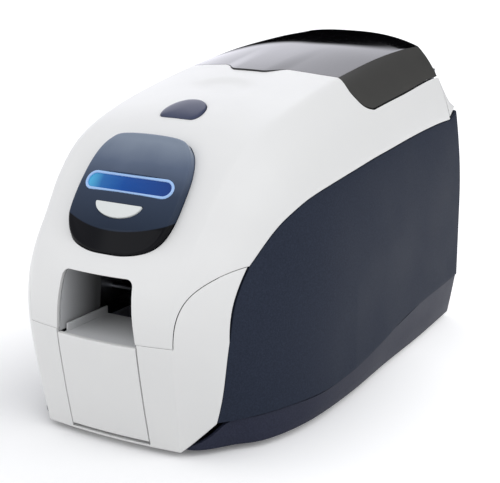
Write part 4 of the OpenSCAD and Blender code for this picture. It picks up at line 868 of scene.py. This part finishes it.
def bezel_place(a, b):
    p = shield[round(a * len(shield)) % len(shield)]
    edge = Vector((p[0], p[1] - SHIELD_MIDDLE, 0))
    reach = edge.length
    if b <= FACE_SHARE:
        r, sink = (reach - RIM) * b / FACE_SHARE, 0
    elif b <= RIM_SHARE:
        t = math.radians(90) * (b - FACE_SHARE) / (RIM_SHARE - FACE_SHARE)
        r, sink = reach - RIM * (1 - math.sin(t)), RIM * (1 - math.cos(t))
    else:
        r, sink = reach, RIM + (DEEP - RIM) * (b - RIM_SHARE) / (1 - RIM_SHARE)
    q = edge * (r / reach) + Vector((0, SHIELD_MIDDLE, 0))
    fold = max(chin_line(q.x) - q.y, 0) * CHIN_SLOPE
    return on_console(q.x, q.y, max(-sink - fold, -DEEP))


bezel = press_sheet("console_bezel", len(shield), 50, bezel_place, weld=True)
thicken(bezel, 2.2)
LCD_S, LCD_HALF, LCD_TALL, RING = 33, 31.7, 10, 2


def stadium(half, tall, steps=12):
    """Outline with round ends, about the middle of the display."""
    r = tall / 2
    right_end = [(half - r + r * math.cos(t), LCD_S + r * math.sin(t))
                 for t in (math.radians(-90 + 180 * k / steps) for k in range(steps + 1))]
    return right_end + [(-x, 2 * LCD_S - s) for x, s in right_end]


KEY_HALF, KEY_TOP, KEY_LOW = 17.5, 18.5, 8.5


def half_moon(margin):
    top, low, half = KEY_TOP + margin, KEY_LOW - margin, KEY_HALF + margin
    return [(half * math.sin(t), top - (top - low) * math.cos(t))
            for t in (math.radians(-90 + 5 * k) for k in range(37))]


PRESS_GAP, KEY_GAP = 0.1, 0.3
display_gap = stadium(LCD_HALF + RING + PRESS_GAP, LCD_TALL + 2 * (RING + PRESS_GAP))
cut_away(bezel, prism("display_cut", display_gap, -8, 8, ON_PANEL),
         prism("key_cut", half_moon(KEY_GAP), -8, 8, ON_PANEL))
ease_edges(bezel, 0.25, angle=50, smooth=11)

navy_gloss, tree = new_material("polished_navy_abs")
CHIN_Z = 140
place = add_node(tree, "ShaderNodeTexCoord").outputs["Object"]
apart = add_node(tree, "ShaderNodeSeparateXYZ", links={0: place})
cloud = add_node(tree, "ShaderNodeTexNoise", links={"Vector": place},
                 values={"Scale": 1 / (22 * MM), "Detail": 2.0})
# Painted sheen: the colour is painted paler towards the top of the console.
height = add_node(tree, "ShaderNodeMapRange", links={0: apart.outputs["Z"]},
                  values={1: 142 * MM, 2: 192 * MM, 3: 0.0, 4: 1.0})
wander = add_node(tree, "ShaderNodeMath", operation="MULTIPLY_ADD",
                  links={0: cloud.outputs["Fac"], 2: height.outputs[0]}, values={1: 0.12})
fade = add_node(tree, "ShaderNodeValToRGB", links={0: wander.outputs[0]})
fade.color_ramp.elements[0].color = linear("#242E3E")
fade.color_ramp.elements[1].color = linear("#848F9F")
fade.color_ramp.elements.new(0.45).color = linear("#374255")
fade.color_ramp.elements.new(0.75).color = linear("#5D697E")
across = add_node(tree, "ShaderNodeMath", operation="POWER", links={0: apart.outputs["X"]}, values={1: 2.0})
arc = add_node(tree, "ShaderNodeMath", operation="MULTIPLY", links={0: across.outputs[0]},
               values={1: CHIN_BOW / MM * math.sin(PANEL_SLOPE)})
above = add_node(tree, "ShaderNodeMath", operation="SUBTRACT",
                 links={0: apart.outputs["Z"], 1: arc.outputs[0]})
chin = add_node(tree, "ShaderNodeMapRange", links={0: above.outputs[0]},
                values={1: (CHIN_Z - 0.3) * MM, 2: (CHIN_Z + 0.3) * MM, 3: 0.0, 4: 1.0})
colour = add_node(tree, "ShaderNodeMix", data_type="RGBA", links={0: chin.outputs[0], 7: fade.outputs[0]},
                  values={6: linear("#0A0B0F")})
shell = add_node(tree, "ShaderNodeBsdfPrincipled", links={"Base Color": colour.outputs[2]},
                 values={"Roughness": 0.2, "Specular IOR Level": 0.1})
add_node(tree, "ShaderNodeOutputMaterial", links={"Surface": shell.outputs[0]})
dress(navy_gloss, bezel)
stands_for(bezel, "console_bezel", "lid")


# Display
# A lit blue window in a raised pale ring with round ends.
# Clear acrylic over the display module; the ring is a separate pale blue moulding pressed round it.
loop = stadium(LCD_HALF + RING / 2, LCD_TALL + RING)
RING_SINK = 0.3
PANE_SINK, PANE_WALL = 0.6, 1.6


def ring_place(a, b):
    i = round(a * len(loop))
    p = loop[i % len(loop)]
    before, after = loop[(i - 1) % len(loop)], loop[(i + 1) % len(loop)]
    out = Vector((after[1] - before[1], before[0] - after[0], 0)).normalized()
    t = 2 * math.pi * b
    return on_console(p[0] + out.x * math.cos(t) * RING / 2, p[1] + out.y * math.cos(t) * RING / 2,
                      math.sin(t) * RING / 2 - RING_SINK)


ring_blue = finish("pale_blue_abs", "#A9CCF8", "#9CC2F4", 0.25, 1.2, 0.05, coat=0.3)
display_ring = press_sheet("display_ring", len(loop), 16, ring_place, weld=True)
ease_edges(display_ring, 0, smooth=60)
dress(ring_blue, display_ring)
stands_for(display_ring, "lcd_ring", "lid")

window_glass, tree = new_material("backlit_acrylic")
place = add_node(tree, "ShaderNodeTexCoord").outputs["Object"]
apart = add_node(tree, "ShaderNodeSeparateXYZ", links={0: place})
cloud = add_node(tree, "ShaderNodeTexNoise", links={"Vector": place},
                 values={"Scale": 1 / (14 * MM), "Detail": 1.0})
# Painted glint: the colour is pale cyan at the left end of the window; the blue beyond is the lit display's
# own colour.
along = add_node(tree, "ShaderNodeMapRange", links={0: apart.outputs["X"]},
                 values={1: -LCD_HALF * MM, 2: LCD_HALF * MM, 3: 0.0, 4: 0.94})
wander = add_node(tree, "ShaderNodeMath", operation="MULTIPLY_ADD",
                  links={0: cloud.outputs["Fac"], 2: along.outputs[0]}, values={1: 0.06})
backlight_and_glint = add_node(tree, "ShaderNodeValToRGB", links={0: wander.outputs[0]})
backlight_and_glint.color_ramp.elements[0].color = linear("#58BCE0")
backlight_and_glint.color_ramp.elements[1].color = linear("#203F80")
backlight_and_glint.color_ramp.elements.new(0.2).color = linear("#2A68AA")
backlight_and_glint.color_ramp.elements.new(0.45).color = linear("#164C98")
shell = add_node(tree, "ShaderNodeBsdfPrincipled",
                 links={"Base Color": backlight_and_glint.outputs[0], "Emission Color": backlight_and_glint.outputs[0]},
                 values={"Roughness": 0.12, "Emission Strength": 0.1, "Specular IOR Level": 0.15})
add_node(tree, "ShaderNodeOutputMaterial", links={"Surface": shell.outputs[0]})
pane = stadium(LCD_HALF + PRESS_GAP, LCD_TALL + 2 * PRESS_GAP)


def pane_place(a, b):
    p = pane[round(a * len(pane)) % len(pane)]
    return on_console(p[0] * b, LCD_S + (p[1] - LCD_S) * b, -PANE_SINK)


display = press_sheet("display_window", len(pane), 10, pane_place, weld=True)
thicken(display, PANE_WALL)
ease_edges(display, 0)
dress(window_glass, display)
stands_for(display, "lcd_window", "lid")


# Control key
# The white half-moon key below the display, which sinks a millimetre.
# Gloss ABS with rounded edges, on a hidden flange.
key_white = finish("gloss_white_abs", "#E6EAE8", "#E1E5E3", 0.22, 1.0, 0.03, coat=0.2)
# The crown is 0.86 of its height at the key, which stands proud of it by its own rounding.
KEY_ROUND, KEY_BACK = 0.9, -2.8
key = prism("control_key", half_moon(0), KEY_BACK, CROWN * 0.86 + KEY_ROUND, ON_PANEL)
ease_edges(key, KEY_ROUND, segments=4)
FLANGE, FLANGE_BACK, FLANGE_FACE = 1.5, -4, -2.4
flange = prism("key_flange", half_moon(FLANGE), FLANGE_BACK, FLANGE_FACE, ON_PANEL)
apply_modifier(key, "BOOLEAN", operation="UNION", object=flange, solver="EXACT")
bpy.data.objects.remove(flange)
dress(key_white, key)
stands_for(key, "control_button", "control_button")


# Lid release button
# The arched slate button on the crown, which unlatches the lid.
# A domed gloss moulding with a flange under the lid and a stem onto the latch.
button_slate = finish("gloss_slate_abs", "#3A4058", "#434962", 0.3, 1.2, 0.05, specular=0.3)
RELEASE_PROFILE = [(0, 1.9), (0.3, 1.82), (0.6, 1.6), (0.8, 1.3), (0.9, 1.05), (0.965, 0.75), (1, 0.2),
                   (1, -3.9), (1.09, -3.9), (1.09, -5.1)]
STEM_PROFILE = [(4, -5.1), (4, -10), (0, -10)]
ARCH_MIDDLE = 4
profile_steps = len(RELEASE_PROFILE) + len(STEM_PROFILE) - 1


def button_place(a, b):
    p = arch[round(a * len(arch)) % len(arch)]
    k = round(b * profile_steps)
    if k < len(RELEASE_PROFILE):
        r, z = RELEASE_PROFILE[k]
        return ON_RELEASE @ Vector((p[0] * r, ARCH_MIDDLE + (p[1] - ARCH_MIDDLE) * r, z))
    r, z = STEM_PROFILE[k - len(RELEASE_PROFILE)]
    turn = math.atan2(p[1] - ARCH_MIDDLE, p[0])
    return ON_RELEASE @ Vector((r * math.cos(turn), r * math.sin(turn), z))


release = press_sheet("release_button", len(arch), profile_steps, button_place, weld=True)
turn_faces_out(release)
ease_edges(release, 0, smooth=30)
dress(button_slate, release)
stands_for(release, "release_button", "release_button")


# Inside of the card mouth
# The pale chute behind the mouth and the tray that the printed card slides out on.
# Plain ABS mouldings between the chassis plates; a few centimetres in, shade is painted into their colour.
# Depths in metres over which painted shade darkens the chute and the tray.
CHUTE_SHADE, TRAY_SHADE = (-0.184, -0.142), (-0.17, -0.08)
chute_abs = finish("pale_grey_abs", "#E2E3E4", "#DADBDD", 0.5, 0.7, 0.2, specular=0.3,
                   dark_from=CHUTE_SHADE)
dress(chute_abs, "mouth_liner")
tray_abs = finish("output_tray_abs", "#E6E7E7", "#DEDFE0", 0.5, 0.7, 0.2, specular=0.3,
                  dark_from=TRAY_SHADE)
dress(tray_abs, "output_tray")


# Magazine, lid frame, deck, guides and bin
# The unseen mouldings that carry the cards and stiffen the lid.
# Plain grey ABS, paler for the magazine that the user fills.
magazine_abs = finish("light_grey_abs", "#C9CACC", "#C2C3C6", 0.5, 0.7, 0.2, specular=0.4)
dress(magazine_abs, "card_magazine")
grey_abs = finish("mid_grey_abs", "#6B6D74", "#62646B", 0.55, 0.7, 0.25, specular=0.4)
dress(grey_abs, "release_guide", "lid_frame", "loading_deck", "side_standoffs", "card_bin", "card_guides",
      "card_weight")


# Chassis, latch and head bracket
# Folded and punched steel plates that hold the works square.
# Zinc-plated sheet, with the cloudy grain of the plating.
zinc_plate = finish("zinc_plated_sheet", "#A6A8AC", "#B4B6B9", 0.36, 1.5, 0.1, metal=1.0)
dress(zinc_plate, "chassis_right", "chassis_left", "latch_bar", "head_bracket", "print_head", "usb_socket")


# Pins, rods, screws and springs
# Turned parts that the plates and the gears hang on.
# Bright drawn steel, streaked along its length.
drawn_steel = finish("drawn_steel", "#B9BBBE", "#A9ABAF", 0.26, 0.5, 0.08, metal=1.0,
                     stretch=(0.08, 1, 1))
dress(drawn_steel, "lid_pivot_pins", "head_springs", "chassis_screws", "tie_rods", "lid_hinge_pins",
      "door_hinge_pins", "motor_pinion", "idler_studs", "board_spacers")


# Rollers
# The feed, platen and pinch rollers that carry a card from the magazine to the mouth.
# Ground rubber sleeves on steel shafts, with their gears on the left end.
ground_rubber = finish("ground_rubber", "#26262A", "#2E2E31", 0.7, 0.35, 0.35, specular=0.3)
dress(ground_rubber, "exit_roller", "transport_roller", "pick_roller", "platen_roller", "exit_pinch",
      "transport_pinch")


# Idler gears
# The train between the rollers, on studs outside the left chassis plate.
# Natural nylon, slightly waxy.
nylon = finish("natural_nylon", "#DAD4C2", "#D2CBB7", 0.48, 1.0, 0.1, specular=0.45)
dress(nylon, "front_idler", "rear_idler", "large_idler")


# Ribbon cartridge, spools, inlet and switch frame
# Black carriers and housings that the user handles or plugs into.
# Black ABS and polyamide with a coarse mould grain.
black_abs = finish("grained_black_abs", "#17181B", "#1E1F22", 0.5, 0.9, 0.3, specular=0.4)
dress(black_abs, "ribbon_cartridge", "supply_spool", "takeup_spool", "power_inlet", "switch_frame")


# Card gate and power rocker
# The two red parts: the flap that lets one card through, and the rocker of the power switch.
# Red polycarbonate, fairly glossy.
red_plastic = finish("red_polycarbonate", "#9C2F28", "#8C2823", 0.32, 0.9, 0.08)
dress(red_plastic, "card_gate", "switch_rocker")


# Motor
# The stepper that drives the whole train through its pinion.
# A steel can in black crackle paint.
motor_paint = finish("black_crackle_paint", "#202124", "#2B2C2F", 0.45, 0.6, 0.5, speckle_mm=0.9)
dress(motor_paint, "motor")


# Circuit boards
# The main board on the base and the small board behind the control panel.
# Glass-fibre board under green lacquer, with a faint weave and darker tracks.
board, tree = new_material("lacquered_glass_fibre")
place = add_node(tree, "ShaderNodeTexCoord").outputs["Object"]
tracks = add_node(tree, "ShaderNodeTexBrick", links={"Vector": place},
                  values={"Scale": 1 / (14 * MM), "Mortar Size": 0.02, "Color1": linear("#1D5B35"),
                          "Color2": linear("#236340"), "Mortar": linear("#143F26")})
weave = add_node(tree, "ShaderNodeTexNoise", links={"Vector": place},
                 values={"Scale": 1 / (0.8 * MM), "Detail": 1.0})
bump = add_node(tree, "ShaderNodeBump", links={"Height": weave.outputs["Fac"]},
                values={"Strength": 0.15, "Distance": 0.1 * MM})
shell = add_node(tree, "ShaderNodeBsdfPrincipled",
                 links={"Base Color": tracks.outputs["Color"], "Normal": bump.outputs[0]},
                 values={"Roughness": 0.3, "Coat Weight": 0.3})
add_node(tree, "ShaderNodeOutputMaterial", links={"Surface": shell.outputs[0]})
dress(board, "main_board", "panel_board")
